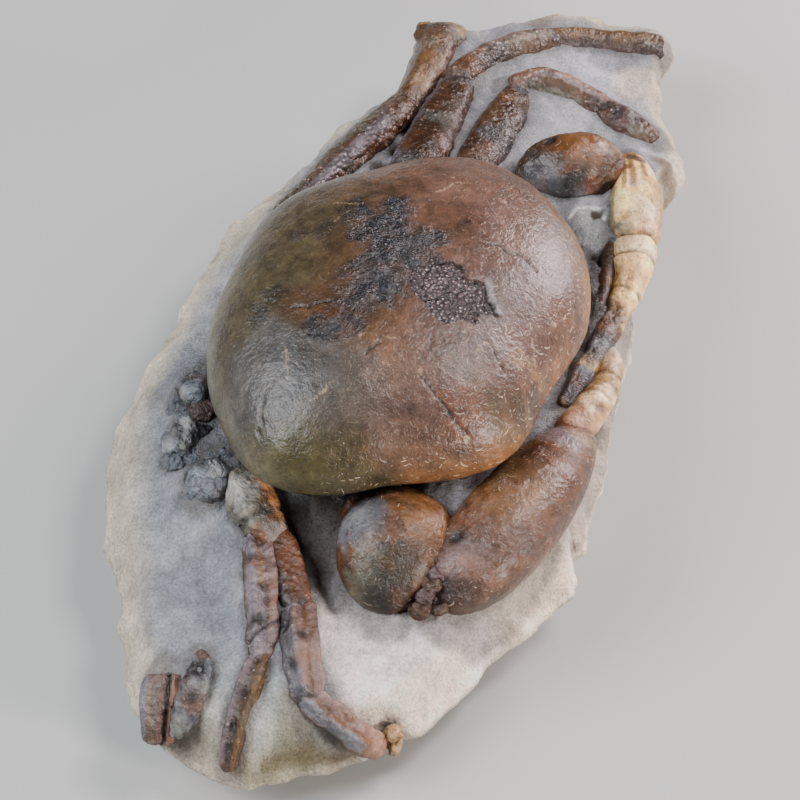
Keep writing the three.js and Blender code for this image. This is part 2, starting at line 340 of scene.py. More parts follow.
class Finish:
    # One material. Patterns are sized in millimetres on Object coordinates.
    def __init__(self, name):
        self.material = bpy.data.materials.new(name)
        self.material.use_nodes = True
        self.tree = self.material.node_tree
        self.tree.nodes.clear()
        self.place = self.node("TexCoord", output="Object")
        self.normal = self.node("NewGeometry", output="Normal")

    def node(self, kind, settings=None, sockets=None, output=0):
        made = self.tree.nodes.new("ShaderNode" + kind)
        for key, value in (settings or {}).items():
            setattr(made, key, value)
        for key, value in (sockets or {}).items():
            socket = made.inputs[key]
            if isinstance(value, Wire):
                self.tree.links.new(value.socket, socket)
            else:
                socket.default_value = value
        if output is None:
            return made
        return Wire(self, made.outputs[output])

    def attribute(self, name, output="Fac"):
        return self.node("Attribute", {"attribute_name": name}, output=output)

    def noise(self, size, detail, roughness):
        return self.node("TexNoise", None, {"Vector": self.place, "Scale": 1 / (size * mm),
                                            "Detail": detail, "Roughness": roughness})

    def cells(self, size, feature="F1", output="Distance"):
        return self.node("TexVoronoi", {"feature": feature},
                         {"Vector": self.place, "Scale": 1 / (size * mm)}, output)

    def vector(self, operation, *values, output=0):
        return self.node("VectorMath", {"operation": operation}, dict(enumerate(values)), output)

    def mix(self, factor, first, second, blend="MIX"):
        first, second = ((*c, 1) if isinstance(c, tuple) else c for c in (first, second))
        settings = {"data_type": "RGBA", "blend_type": blend}
        return self.node("Mix", settings, {0: factor, 6: first, 7: second}, 2)

    def times(self, tint, shade):
        return self.mix(1.0, tint, shade, "MULTIPLY")

    def bump(self, height, depth):
        return self.node("Bump", None, {"Height": height, "Distance": depth * mm})

    def flecks(self, spacing, length, width, bend, share):
        # Short bent strokes, one in each cell of a Voronoi pattern, turned at random in the surface:
        # within `width` of a parabola and within a random part of `length` from its middle, in `share`
        # of the cells, some fainter than others.
        made = self.cells(spacing, output=None)
        centre, colour = (Wire(self, made.outputs[key]) for key in ("Position", "Color"))
        random = self.vector("SUBTRACT", colour, (0.5, 0.5, 0.5))
        forward = self.vector("NORMALIZE", self.vector("CROSS_PRODUCT", self.normal, random))
        aside = self.vector("CROSS_PRODUCT", self.normal, forward)
        offset = self.vector("SUBTRACT", self.place, centre)
        run = self.vector("DOT_PRODUCT", offset, forward, output="Value") / mm
        off = self.vector("DOT_PRODUCT", offset, aside, output="Value") / mm
        halfway = bend * length * length * 0.4   # puts the middle of the bend in the middle of the cell
        bent = (off + bend * run * run - halfway).maths("ABSOLUTE")
        parts = self.node("SeparateColor", None, {0: colour}, None)
        green, blue = (Wire(self, parts.outputs[key]) for key in ("Green", "Blue"))
        reach = run.maths("ABSOLUTE") / (green * 1.1 * length + 0.35 * length)
        stroke = bent.step(width, width * 0.35) * reach.step(1, 0.6)
        return stroke * blue.step(1 - share, 1.0)

    def finish(self, **sockets):
        named = {key.replace("_", " "): value for key, value in sockets.items()}
        shader = self.node("BsdfPrincipled", None, named)
        self.node("OutputMaterial", None, {"Surface": shader}, None)
        return self.material


# What a leg or claw part has where it says nothing else: `high` is height over width, `blunt` how square the
# ends are, `square` the power of the section's sine and cosine, and `reach` draws the ends out, in
# millimetres, until neighbours meet at the joint. `crackle` is how clear the crevices are.
plainLimb = {
    "high": 0.85, "blunt": 3, "square": 1, "reach": (0, 0), "crackle": 0.0,
    "keels": [], "lumps": [], "grooves": [], "cracks": [], "stripes": [], "patches": [], "knobs": [],
}

# The middle line of each part as x, y, z, half-width. `look` names its kind in limbLooks; shade, relief and
# nodules take the place of the kind's own; `lift` says how far up its half-width the stone climbs.
# Marks on a part are placed by t, from 0 at its start to 1 at its end, and by turn in degrees: 0 on the
# left of its direction, 90 on top. keels: turn, width in degrees, height, from t, to t.
# lumps: t, turn, radius, height. grooves: t, width, depth. cracks: lines of t, turn.
# stripes: turn, width, from t, to t, colour, strength. patches: t, turn, radius, colour, strength.
# knobs: x, y, z, radius, colour.
# A leg's shade is partly painted light: the far legs darker, the near legs and right_leg_base lighter.
limbs = {
    "right_claw_merus": {
        "line": [(-18, -64, 36, 5), (-13, -68, 36, 6), (-8, -72, 36, 6)], "high": 0.9, "reach": (2, 2),
        "grooves": [(0.3, 0.8, 0.7), (0.55, 0.8, 0.7), (0.75, 0.8, 0.7)],
        "patches": [(0.2, 90, 6, "ash", 0.8), (0.6, 150, 5, "rust", 0.6)]},
    "right_claw_carpus": {
        "line": [(-2, -66, 37, 11), (-3, -74, 37, 13.5), (-5, -84, 36, 14), (-6, -93, 34.5, 11),
                 (-6, -99, 33, 7)],
        "high": 0.85, "blunt": 3,
        "lumps": [(0.25, 20, 7, 0.8), (0.5, 140, 9, 0.5), (0.8, 90, 6, -0.9), (0.62, 60, 4, -0.5),
                  (0.93, 130, 3, -0.9)],
        # The slate and ash patches on its upper left side are a painted bluish sheen.
        "patches": [(0.42, 130, 9, "slate", 0.85), (0.38, 140, 6, "ash", 0.4), (0.3, 60, 10, "orange", 0.4),
                    (0.62, 55, 8, "orange", 0.25), (0.75, 110, 9, "olive", 0.7),
                    (0.85, 150, 8, "greyGreen", 0.5),
                    (0.88, 75, 2.2, "rust", 0.6), (0.93, 60, 2, "rust", 0.5), (0.72, 90, 2, "orange", 0.5),
                    (0.6, 95, 2.5, "charcoal", 0.6), (0.57, 75, 1.6, "charcoal", 0.7),
                    (0.12, 110, 5, "greyGreen", 0.6)]},
    "right_claw_palm": {
        "line": [(6.5, -97.5, 32.5, 7), (13, -89.5, 34.5, 10.5), (21.5, -78.5, 36, 12),
                 (29.5, -66, 36.5, 11.8), (37, -53.5, 35, 9.5), (43.5, -43, 33.5, 6.2)],
        "high": 0.9, "blunt": 5, "reach": (0, 3),
        "keels": [(38, 22, 1.0, 0.05, 0.5), (150, 40, 0.5, 0.3, 0.9)],
        "lumps": [(0.26, 62, 2.2, -1.1), (0.07, 90, 4, -1.0), (0.12, 130, 3, -0.7), (0.15, 70, 3, 0.7),
                  (0.82, 80, 5, 0.6), (0.95, 60, 3, -0.6)],
        # Its mauve patches and the lavender patch near the finger are a painted pinkish sheen.
        "patches": [(0.45, 130, 18, "mauve", 0.2), (0.82, 70, 7, "lavender", 0.5),
                    (0.55, 30, 9, "olive", 0.5),
                    (0.75, 25, 8, "ochre", 0.5), (0.08, 100, 5, "plum", 0.3), (0.2, 95, 9, "mauve", 0.7),
                    (0.5, 75, 12, "ochre", 0.25), (0.15, 130, 9, "pink", 0.4),
                    (0.26, 62, 2.2, "charcoal", 0.6), (0.9, 110, 6, "tan", 0.3), (0.97, 60, 5, "pink", 0.5)],
        "knobs": [(8.6, -83.5, 40.5, 1.9, "umber"), (7.8, -86, 40.5, 2.1, "plum"),
                  (6.8, -88.5, 40, 2.4, "umber"),
                  (6, -91.5, 39, 2.6, "plum"), (4.6, -94, 37.5, 2.7, "umber"), (3.4, -96.5, 36, 2.8, "plum"),
                  (1.8, -99, 34, 2.6, "umber"), (6.5, -97, 33.5, 2.8, "umber"),
                  (9.5, -91, 41, 1.6, "plum")]},
    "right_claw_finger": {
        "line": [(42.5, -41, 34.5, 5.6), (47.5, -32.5, 34, 4.7), (51.5, -24, 33, 3.9),
                 (53.5, -15.5, 32, 2.9), (53, -9, 31.5, 1.2)],
        "blunt": 9, "reach": (4, 0), "look": "bone",
        "grooves": [(0.3, 0.6, 0.3), (0.42, 0.5, 0.25), (0.55, 0.6, 0.3)],
        "lumps": [(0.08, 60, 3, 0.8), (0.2, 130, 1.2, -0.7)],
        "patches": [(0.05, 90, 8, "pink", 0.9), (0.12, 60, 5, "brown", 0.6), (0.2, 130, 3, "rust", 0.6),
                    (0.35, 20, 5, "ochre", 0.7), (0.6, 30, 4, "orange", 0.5), (0.9, 90, 5, "ash", 0.7)]},
    "left_claw_carpus": {
        "line": [(30, 51, 38, 5), (38, 53.5, 38.5, 8.6), (46.5, 54.5, 38.5, 10), (55, 55.5, 37.5, 8.4),
                 (61, 57, 36, 5)],
        "high": 1, "blunt": 3.5, "relief": 0.8,
        "lumps": [(0.3, 70, 2.2, -1.4), (0.25, 160, 4, 0.7), (0.42, 165, 3, -0.8), (0.6, 150, 3, 0.6),
                  (0.85, 120, 2.5, -0.8), (0.7, 175, 3, -0.7), (0.15, 130, 2, -0.8), (0.5, 190, 2, 0.8)],
        "patches": [(0.5, 70, 11, "orange", 0.6), (0.8, 80, 6, "tan", 0.6), (0.2, 160, 8, "slate", 0.6),
                    (0.45, 185, 8, "slate", 0.7), (0.3, 70, 2.5, "charcoal", 0.9),
                    (0.86, 120, 3, "rust", 0.7), (0.6, 170, 4, "rust", 0.5),
                    (0.12, 100, 5, "charcoal", 0.7), (0.35, 185, 5, "charcoal", 0.6)]},
    "left_claw_palm": {
        "line": [(62.5, 65, 33, 3.4), (63.5, 56, 34.3, 5.4), (63.8, 47, 35, 7.0), (63.2, 37, 34.8, 7.5),
                 (62.5, 31, 34, 6.8)],
        "blunt": 20, "look": "pale", "reach": (-1, 3),
        "keels": [(60, 26, 0.7, 0.2, 0.9), (130, 20, 0.5, 0.1, 0.9)],
        "lumps": [(0.15, 90, 2, -0.8), (0.25, 60, 1.5, -0.8), (0.9, 60, 3, 0.5), (0.85, 120, 2, -0.6)],
        "stripes": [(165, 30, 0.0, 1.0, "greyGreen", 0.85), (40, 16, 0.2, 0.9, "tan", 0.7),
                    (100, 9, 0.1, 0.6, "brown", 0.75), (72, 7, 0.05, 0.5, "brown", 0.8),
                    (120, 7, 0.1, 0.6, "ochre", 0.9), (15, 20, 0.1, 1.0, "ochre", 0.6)],
        "patches": [(0.08, 90, 4, "ochre", 0.8), (0.2, 70, 2.6, "brown", 0.9),
                    (0.32, 110, 2.2, "brown", 0.8), (0.97, 120, 3.5, "greyGreen", 0.9),
                    (0.98, 60, 3, "brown", 0.9), (0.9, 90, 4, "tan", 0.4), (1.0, 90, 3, "umber", 0.8)]},
    # Its umber patches and low shade are painted shadow: it lies in shade beside the carapace.
    "left_claw_fixed_finger": {
        "line": [(59, 38, 34, 3), (55.5, 25, 33, 2.5), (53, 12.5, 33, 2), (50, 0, 32, 2), (48, -8, 32, 1)],
        "look": "pale", "shade": 0.6,
        "patches": [(0.3, 90, 12, "umber", 1), (0.6, 90, 14, "umber", 1), (0.9, 90, 14, "umber", 1),
                    (0.5, 60, 5, "brown", 0.6)]},
    "left_claw_finger": {
        "line": [(62.5, 28.5, 33.3, 6.4), (61.5, 21, 32.5, 5.9), (60, 14.5, 31.5, 4.6), (57.5, 7, 31.5, 4.2),
                 (53, -3.5, 31.5, 3.8), (48.5, -14, 32, 3.6), (43.5, -24.5, 32, 3.2), (40.5, -31, 32, 2.6)],
        "blunt": 30, "look": "pale", "reach": (0, 1),
        "grooves": [(0.13, 0.7, 0.6), (0.38, 0.7, 0.5)],
        "keels": [(60, 26, 0.7, 0.0, 0.5), (120, 20, 0.5, 0.2, 1.0)],
        "lumps": [(0.5, 140, 2, -0.7), (0.62, 90, 2, 0.6), (0.72, 130, 2.2, -0.8), (0.8, 90, 2.5, 0.6)],
        "patches": [(0.2, 100, 5, "tan", 0.5), (0.3, 60, 4, "pink", 0.5), (0.38, 100, 3, "greyGreen", 0.6),
                    (0.5, 130, 6, "umber", 0.9), (0.62, 90, 10, "umber", 1.0),
                    (0.7, 100, 9, "charcoal", 0.9),
                    (0.68, 80, 3, "ash", 0.5), (0.85, 90, 10, "umber", 1.0), (0.98, 90, 8, "charcoal", 0.8),
                    (0.8, 60, 4, "slate", 0.7)]},
    "left_leg_1_upper": {
        "line": [(14, 42, 37, 5), (18.5, 53.5, 38, 6), (22, 63, 38, 6.8), (27, 74, 38, 6.5),
                 (31.5, 87, 36.5, 5)],
        "blunt": 9, "reach": (0, 3), "shade": 0.48,
        "keels": [(60, 25, 0.7, 0.2, 0.95)],
        "lumps": [(0.93, 120, 3, -1.0), (0.75, 150, 4, 0.5), (0.5, 100, 3, -0.4)],
        "patches": [(0.85, 100, 6, "orange", 0.4), (0.6, 140, 4, "greyGreen", 0.5),
                    (0.5, 90, 4, "slate", 0.4),
                    (0.42, 160, 5, "slate", 0.4), (0.7, 60, 5, "ochre", 0.35), (0.97, 110, 4, "slate", 0.9),
                    (0.35, 120, 5, "redBrown", 0.5)]},
    "left_leg_1_middle": {
        "line": [(33, 92.5, 36, 4.2), (40, 94, 35.5, 4.6), (48, 91.5, 34.5, 4.5), (55.5, 87.5, 33, 3.9)],
        "blunt": 14, "reach": (4, 3), "nodules": 0.7, "shade": 0.8,
        "keels": [(75, 30, 0.5, 0.1, 0.95)],
        # Its lavender stripe on top is a painted highlight.
        "stripes": [(70, 34, 0.0, 1.0, "pink", 0.75), (170, 26, 0.1, 0.8, "greyGreen", 0.8),
                    (95, 12, 0.2, 0.9, "lavender", 0.6)],
        "patches": [(0.05, 90, 4, "pink", 0.8)]},
    "left_leg_1_tip": {
        "line": [(57, 86, 32.5, 3.9), (64, 79.5, 32, 4.8), (70.5, 75, 30.5, 3.6)],
        "blunt": 7, "reach": (3, 2), "shade": 0.8,
        "lumps": [(0.3, 100, 2, -0.8), (0.6, 70, 2, -0.9), (0.7, 130, 2, 0.6), (0.45, 150, 1.5, 0.6)],
        "patches": [(0.4, 90, 7, "plum", 0.8), (0.1, 90, 3, "charcoal", 0.6),
                    (0.7, 120, 4, "greyGreen", 0.5)]},
    "left_leg_2_upper": {
        "line": [(-3, 37, 37, 5.5), (0, 48, 38.5, 6.5), (3.6, 58, 39, 7.2), (7.6, 69, 39, 6.6),
                 (11.5, 80, 38.5, 5.8), (15.5, 91, 37.5, 4.8)],
        "blunt": 16, "reach": (0, 4), "high": 0.75, "shade": 0.42,
        "keels": [(30, 24, 1.2, 0.1, 0.95), (130, 30, 0.6, 0.2, 0.9)],
        # Its lavender and slate stripes on its left side are a painted highlight.
        "stripes": [(20, 24, 0.0, 0.95, "lavender", 0.7), (0, 18, 0.0, 0.9, "slate", 0.6)],
        "patches": [(0.45, 110, 9, "redBrown", 0.5), (0.72, 110, 7, "redBrown", 0.4),
                    (0.62, 90, 4, "greyGreen", 0.5),
                    (0.3, 60, 4, "slate", 0.4), (0.95, 130, 3.5, "charcoal", 0.9), (0.9, 60, 4, "ash", 0.3)],
        "lumps": [(0.94, 130, 2.6, -1.6), (0.6, 60, 3, -0.4)],
        "knobs": [(17.5, 93.5, 36.5, 3.0, "umber")]},
    "left_leg_2_middle": {
        "line": [(14, 94.5, 37, 4.8), (21, 102.5, 36.5, 4.7), (30, 109, 36, 4.9), (37.5, 111.5, 36, 4.7),
                 (42, 113, 35.5, 4.2)],
        "blunt": 16, "reach": (4, 3), "nodules": 0.9, "shade": 0.75,
        "keels": [(75, 30, 0.6, 0.1, 0.9)],
        "stripes": [(60, 36, 0.0, 1.0, "pink", 0.35), (95, 22, 0.3, 1.0, "ash", 0.35),
                    (100, 10, 0.45, 0.95, "cream", 0.15)],
        "patches": [(0.15, 90, 4, "redBrown", 0.6), (0.35, 150, 4, "charcoal", 0.5),
                    (0.97, 120, 3, "charcoal", 0.6)]},
    "left_leg_2_tip": {
        "line": [(44, 114.5, 35, 4), (54.5, 116, 33.5, 4), (65, 116, 32, 4.3), (77, 116, 31, 3.9)],
        "blunt": 24, "reach": (3, 0), "nodules": 0.15, "shade": 0.5,
        "keels": [(75, 35, 0.6, 0.0, 1.0)],
        "stripes": [(80, 40, 0.0, 1.0, "ochre", 0.5), (160, 26, 0.05, 1.0, "plum", 0.75)],
        "patches": [(0.0, 120, 3, "charcoal", 0.5), (0.97, 90, 4, "brown", 0.7)]},
    "left_leg_3_upper": {
        "line": [(-41, 26, 36, 2.5), (-35, 36.5, 37, 3.6), (-27, 46, 38, 4.5), (-17.5, 58.5, 38.5, 5.7),
                 (-8, 71, 38.5, 5.8), (-2, 80.5, 38, 5)],
        "blunt": 16, "reach": (3, 4), "nodules": 0.85, "shade": 0.7,
        "keels": [(110, 26, 0.8, 0.1, 0.9)],
        # Lavender stripe: painted highlight; pit stripe, lower right: painted shadow in the gap by leg 2.
        "stripes": [(45, 34, 0.1, 1.0, "olive", 0.7), (112, 20, 0.1, 0.8, "lavender", 0.6),
                    (160, 22, 0.15, 0.9, "redBrown", 0.8), (200, 34, 0.35, 1.0, "pit", 1.0)],
        "patches": [(0.05, 100, 4, "slate", 0.7), (0.22, 110, 2.5, "cream", 0.6),
                    (0.3, 165, 4, "orange", 0.6), (0.85, 110, 5, "brown", 0.7)],
        "lumps": [(0.97, 100, 3, -0.8)],
        "knobs": [(-3.5, 79.5, 41, 1.5, "tan"), (-0.8, 79, 41, 1.3, "lavender")]},
    "left_leg_3_lower": {
        "line": [(-1, 82, 38, 4.4), (2.5, 90.5, 37.5, 4.6), (6, 99.5, 37.5, 5), (9, 111, 37.5, 5.9),
                 (9.5, 116, 37, 5.8)],
        "blunt": 12, "reach": (3, 2), "shade": 0.7,
        "keels": [(60, 30, 0.6, 0.1, 0.7), (5, 20, 2.2, 0.7, 1.0), (175, 20, 1.8, 0.75, 1.0)],
        "lumps": [(0.97, 90, 4, -1.6)],
        "stripes": [(90, 60, 0.0, 1.0, "ochre", 0.35)],
        "patches": [(0.9, 150, 5, "tan", 0.5), (0.97, 100, 3, "brown", 0.6), (0.2, 110, 3, "tan", 0.3),
                    (0.7, 40, 5, "brown", 0.6)],
        "knobs": [(4.8, 117, 37.5, 2.6, "ochre"), (14, 115.5, 37, 2.6, "tan")]},
    # Its high shade is painted light, where the carapace shades it.
    "right_leg_base": {
        "line": [(-45, -56, 34, 4), (-42, -63, 34, 5.6), (-39, -70, 33, 6), (-36, -76, 31.5, 5)],
        "blunt": 5, "high": 1, "reach": (1, 3), "shade": 2.0,
        "keels": [(30, 18, 1.8, 0.2, 1.0), (115, 16, 1.0, 0.1, 0.9)],
        "grooves": [(0.72, 0.9, 0.9)],
        "stripes": [(25, 26, 0.1, 1.0, "orange", 0.45), (125, 60, 0.0, 0.8, "greyGreen", 0.7)],
        "patches": [(0.73, 90, 3.5, "charcoal", 0.4), (0.9, 60, 4, "ash", 0.4), (0.4, 110, 6, "ash", 0.4)]},
    "right_leg_1_upper": {
        "line": [(-33.5, -76, 31.5, 3.6), (-31.5, -83, 31, 4.2), (-29.5, -91, 31, 4.2), (-28, -96, 31, 3.8)],
        "blunt": 8, "high": 0.9, "reach": (4, 3),
        "keels": [(50, 18, 1.6, 0.1, 0.9)],
        "stripes": [(60, 50, 0.0, 1.0, "redBrown", 0.7), (35, 20, 0.1, 0.9, "rust", 0.4),
                    (140, 18, 0.2, 0.9, "slate", 0.6)],
        "patches": [(0.95, 60, 3, "charcoal", 0.6)]},
    "right_leg_1_middle": {
        "line": [(-28, -97.5, 31, 4.2), (-28, -105, 32, 4.8), (-27, -112, 31.5, 4.7),
                 (-25.5, -119, 28.5, 4.2)],
        "blunt": 8, "reach": (2, 3), "shade": 1.05,
        "keels": [(40, 16, 1.8, 0.0, 0.95), (100, 14, 1.1, 0.1, 0.9)],
        "grooves": [(0.08, 0.6, 0.5)],
        "lumps": [(0.3, 120, 2, -1.0), (0.6, 70, 2, 0.6), (0.75, 120, 1.6, -1.0), (0.45, 75, 1.5, -0.9)],
        # Its mauve stripes on top are a painted sheen.
        "stripes": [(45, 20, 0.0, 1.0, "mauve", 0.7), (85, 16, 0.1, 0.9, "mauve", 0.6),
                    (130, 34, 0.1, 1.0, "slate", 0.65)],
        "patches": [(0.12, 110, 3, "ash", 0.7), (0.05, 60, 3, "rust", 0.5), (0.95, 100, 3, "charcoal", 0.6),
                    (0.4, 60, 2.4, "brown", 0.7), (0.7, 90, 2.4, "brown", 0.6)]},
    "right_leg_1_tip": {
        "line": [(-24.5, -120, 27, 3.9), (-18.5, -124, 23.5, 3.8), (-14, -125.5, 19, 3.8),
                 (-8.5, -126, 14, 3.6)],
        "blunt": 8, "reach": (3, 1), "shade": 1.25,
        "keels": [(70, 16, 1.5, 0.0, 0.9), (130, 16, 0.9, 0.0, 0.8)],
        # Its mauve stripe on top is a painted sheen.
        "stripes": [(75, 26, 0.0, 0.8, "mauve", 0.7), (150, 36, 0.0, 0.75, "slate", 0.7)],
        "patches": [(0.9, 90, 6, "pink", 0.6), (0.72, 110, 3, "brown", 0.5), (0.4, 90, 2.4, "brown", 0.6)],
        "lumps": [(0.93, 90, 3, 0.6)],
        "knobs": [(-4.5, -123.5, 17, 2.2, "tan")]},
    "right_leg_2_upper": {
        "line": [(-39, -76, 31, 3.4), (-38, -83, 31.5, 3.9), (-37, -92.5, 31.5, 4.2),
                 (-36.5, -101.5, 31, 4.1), (-36.3, -109.5, 30, 3.4)],
        "blunt": 9, "reach": (3, 3), "high": 0.8, "shade": 1.1,
        "keels": [(45, 15, 1.8, 0.0, 0.9), (110, 15, 1.0, 0.0, 0.9)],
        "lumps": [(0.75, 110, 2, -1.4), (0.6, 60, 1.5, -1.0), (0.25, 120, 2, -1.0), (0.4, 60, 2, 0.6),
                  (0.5, 85, 1.6, -0.9), (0.15, 80, 1.6, -0.8)],
        # Its mauve and lavender stripes are a painted sheen.
        "stripes": [(45, 22, 0.0, 1.0, "mauve", 0.7), (110, 44, 0.0, 1.0, "lavender", 0.65),
                    (85, 12, 0.0, 0.5, "ochre", 0.5)],
        "patches": [(0.75, 110, 2.2, "greyGreen", 0.9), (0.62, 50, 2, "rust", 0.6),
                    (0.3, 100, 3, "brown", 0.7), (0.5, 70, 2.4, "brown", 0.6)],
        "cracks": [[(0.88, 180), (0.86, 120), (0.8, 80), (0.76, 20)]]},
    "right_leg_2_lower": {
        "line": [(-37.6, -113, 29, 3.2), (-40, -120.5, 27, 3.2), (-42.5, -127.5, 22.5, 3.1),
                 (-44.2, -133, 15, 2.4)],
        "blunt": 16, "reach": (3, 0), "high": 0.8,
        "keels": [(60, 15, 1.6, 0.0, 0.9), (125, 15, 0.9, 0.0, 0.9)],
        "lumps": [(0.3, 95, 1.5, -0.9), (0.6, 90, 1.5, -0.8)],
        # Its lavender stripe is a painted sheen.
        "stripes": [(50, 26, 0.0, 1.0, "ochre", 0.4), (130, 40, 0.0, 0.9, "lavender", 0.5)],
        "patches": [(0.95, 90, 3, "brown", 0.7), (0.4, 80, 2.4, "brown", 0.6)]},
    "leg_stub_1": {
        "line": [(-58.5, -34, 34, 4.6), (-55.5, -28, 35, 5.6), (-53.5, -23, 35.5, 4.6)],
        "high": 1, "blunt": 5, "shade": 1.1,
        "lumps": [(0.75, 60, 2.5, -1.6), (0.3, 120, 2.2, 1.2), (0.4, 60, 2, -1.2)],
        "patches": [(0.8, 70, 4, "charcoal", 0.7), (0.3, 110, 3, "slate", 0.6), (0.5, 100, 2.5, "plum", 0.6),
                    (0.6, 130, 3, "greyGreen", 0.6)],
        "knobs": [(-60.5, -33.5, 34, 3.4, "slate"), (-54.5, -35, 35, 3.6, "plum"),
                  (-55.5, -27, 37, 3.2, "slate"),
                  (-51.5, -30, 36.5, 3.4, "charcoal"), (-57.5, -38.5, 33.5, 3.0, "slate")]},
    "leg_stub_2": {
        "line": [(-60, -50.5, 33, 4.2), (-58.5, -45, 34, 5.2), (-58, -39.5, 34, 4.4)], "high": 1, "blunt": 5,
        "shade": 1.8,
        "lumps": [(0.55, 30, 2.4, -1.7), (0.8, 90, 2.5, 1.0)],
        "patches": [(0.6, 40, 3.2, "pit", 0.8), (0.2, 100, 2.4, "greyGreen", 0.6),
                    (0.4, 80, 2, "charcoal", 0.7), (0.75, 110, 4, "ash", 0.4)],
        "knobs": [(-60.5, -51, 33, 3.4, "slate"), (-54.5, -43, 33.5, 3.4, "charcoal"),
                  (-61.5, -44, 33, 3.0, "slate"), (-55.5, -50.5, 33.5, 3.4, "slate")]},
    "leg_stub_3": {
        "line": [(-54, -64, 33.5, 5), (-51.5, -59.5, 34.5, 6.4), (-50, -54, 35, 5)], "high": 0.9, "blunt": 5,
        "patches": [(0.5, 100, 6, "slate", 0.8), (0.7, 60, 3, "charcoal", 0.7), (0.6, 110, 2.5, "ash", 0.4)],
        "crackle": 0.2,
        "knobs": [(-49, -52.5, 35.5, 3.4, "slate"), (-56, -63.5, 33, 3.0, "slate"),
                  (-49, -62, 34.5, 3.0, "charcoal")]},
    "shell_fragment_1": {
        "line": [(-60, -112.5, 26.5, 4.6), (-60.5, -120, 23.2, 4.8), (-61, -126.5, 17, 4.0)],
        "blunt": 20, "square": 0.6, "high": 0.45, "lift": -0.6, "shade": 1.0, "relief": 0.9,
        "keels": [(80, 5, -1.2, 0.0, 1.0), (64, 8, 0.4, 0.0, 1.0)],
        "stripes": [(90, 95, 0, 1, "redBrown", 0.7), (150, 30, 0, 1, "slate", 0.7),
                    (105, 14, 0, 1, "greyGreen", 0.4), (50, 14, 0, 1, "rust", 0.4),
                    (80, 5, 0, 1, "pit", 1.0)]},
    "shell_fragment_2": {
        "line": [(-50.5, -107, 29, 2.2), (-51.5, -113, 28.2, 3.6), (-54, -121, 25, 3.4),
                 (-57, -128, 20.5, 2.2)],
        "high": 0.45, "lift": -0.35, "shade": 1.2, "relief": 1.8,
        "lumps": [(0.3, 90, 2.2, -1.6), (0.5, 120, 1.6, 0.6), (0.6, 80, 1.8, -1.0)],
        "patches": [(0.3, 90, 2.8, "charcoal", 0.9), (0.08, 90, 3, "brown", 0.8),
                    (0.45, 110, 2, "lavender", 0.6), (0.6, 60, 4, "brown", 0.6),
                    (0.85, 110, 4, "greyGreen", 0.7), (0.5, 160, 4, "umber", 0.7)]},
    "leg_tip_fragment": {
        "line": [(-4.5, -127, 12.5, 1.5), (-4, -124.5, 13.5, 2), (-3.5, -122, 14, 1.5)],
        "patches": [(0.5, 90, 4, "tan", 0.7)]},
}
limbs = {name: {**plainLimb, **part} for name, part in limbs.items()}

# How each kind of shell looks: two ground colours, a third in patches and its share; the height of the
# relief and the size of its grain in millimetres; how strong its nodules and flecks are; `shade`
# multiplies the tint.
limbLooks = {
    "claw": {"first": "brown", "second": "umber", "third": "redBrown", "share": 0.3, "relief": 0.5,
             "grain": 9, "nodules": 0.0, "slot": "claw_shell", "fleck": 0.5, "shade": 0.8},
    "bone": {"first": "cream", "second": "tan", "third": "ochre", "share": 0.2, "relief": 0.4,
             "grain": 5, "nodules": 0.0, "slot": "claw_shell", "fleck": 0.2, "shade": 1.3},
    "pale": {"first": "straw", "second": "cream", "third": "tan", "share": 0.2, "relief": 0.5,
             "grain": 5, "nodules": 0.1, "slot": "pale_shell", "fleck": 0.1, "shade": 1.1},
    "leg": {"first": "umber", "second": "brown", "third": "greyGreen", "share": 0.22, "relief": 0.75,
            "grain": 6.5, "nodules": 0.45, "slot": "leg_shell", "fleck": 0.15, "shade": 0.85},
    "stub": {"first": "slate", "second": "charcoal", "third": "ash", "share": 0.4, "relief": 1.4,
             "grain": 4.5, "nodules": 0.3, "slot": "weathered_shell", "fleck": 0.0, "shade": 1.5},
}

# What all parts share: the spacing of points in millimetres, the fewest and most points around and along;
# sizes of noise and widths in millimetres, and amounts as shares of the part's relief or tint.
limbDetail = {
    "spacing": 0.33,
    "around": (56, 190),
    "rings": (44, 190),
    "broad": 11.0,
    "broadShare": 0.5,
    "fine": 1.6,
    "fineShare": 0.25,
    "endWidth": 1.6,
    "endShare": 0.6,
    "keelSoft": 0.08,
    "stripeSoft": 0.05,
    "patch": 6.5,
    "ground": 4.5,
    "edge": 2.6,
    "edgeAmount": 0.45,
    "wander": (4.0, 0.7),   # size and height of a groove's wavering
    "crackDepth": 0.5,
    "crackWidth": 0.5,
    "sunkDark": 0.5,
    "endDark": 0.35,
    "mottle": (1.8, 5.0),
    "mottleAmount": 0.35,
    "lowest": 0.5,
}

# A crumpled bit: points along and around, how far it swells and folds for its radius, how flat it is.
knobShape = {"rings": 24, "around": 30, "swell": 1.2, "folds": 1.3, "flat": 0.75,
             "rough": 0.3, "nodules": 0.3}


def limbKind(name):
    # The kind that the part names, or else the one that its own name says.
    if "look" in limbs[name]:
        return limbs[name]["look"]
    if "claw" in name:
        return "claw"
    return "stub" if "stub" in name or "fragment" in name else "leg"


def limbLine(part, t):
    # The middle line and half-width at t, with the ends drawn out along the line by `reach`.
    line = along(part["line"], t)
    step = 0.004
    forward = along(part["line"], t + step)[:, :3] - along(part["line"], t - step)[:, :3]
    forward /= np.linalg.norm(forward, axis=1, keepdims=True)
    before, after = part["reach"]
    shift = after * smooth(t, 0.75, 1) - before * (1 - smooth(t, 0, 0.25))
    return line[:, :3] + forward * shift[:, None], line[:, 3], forward


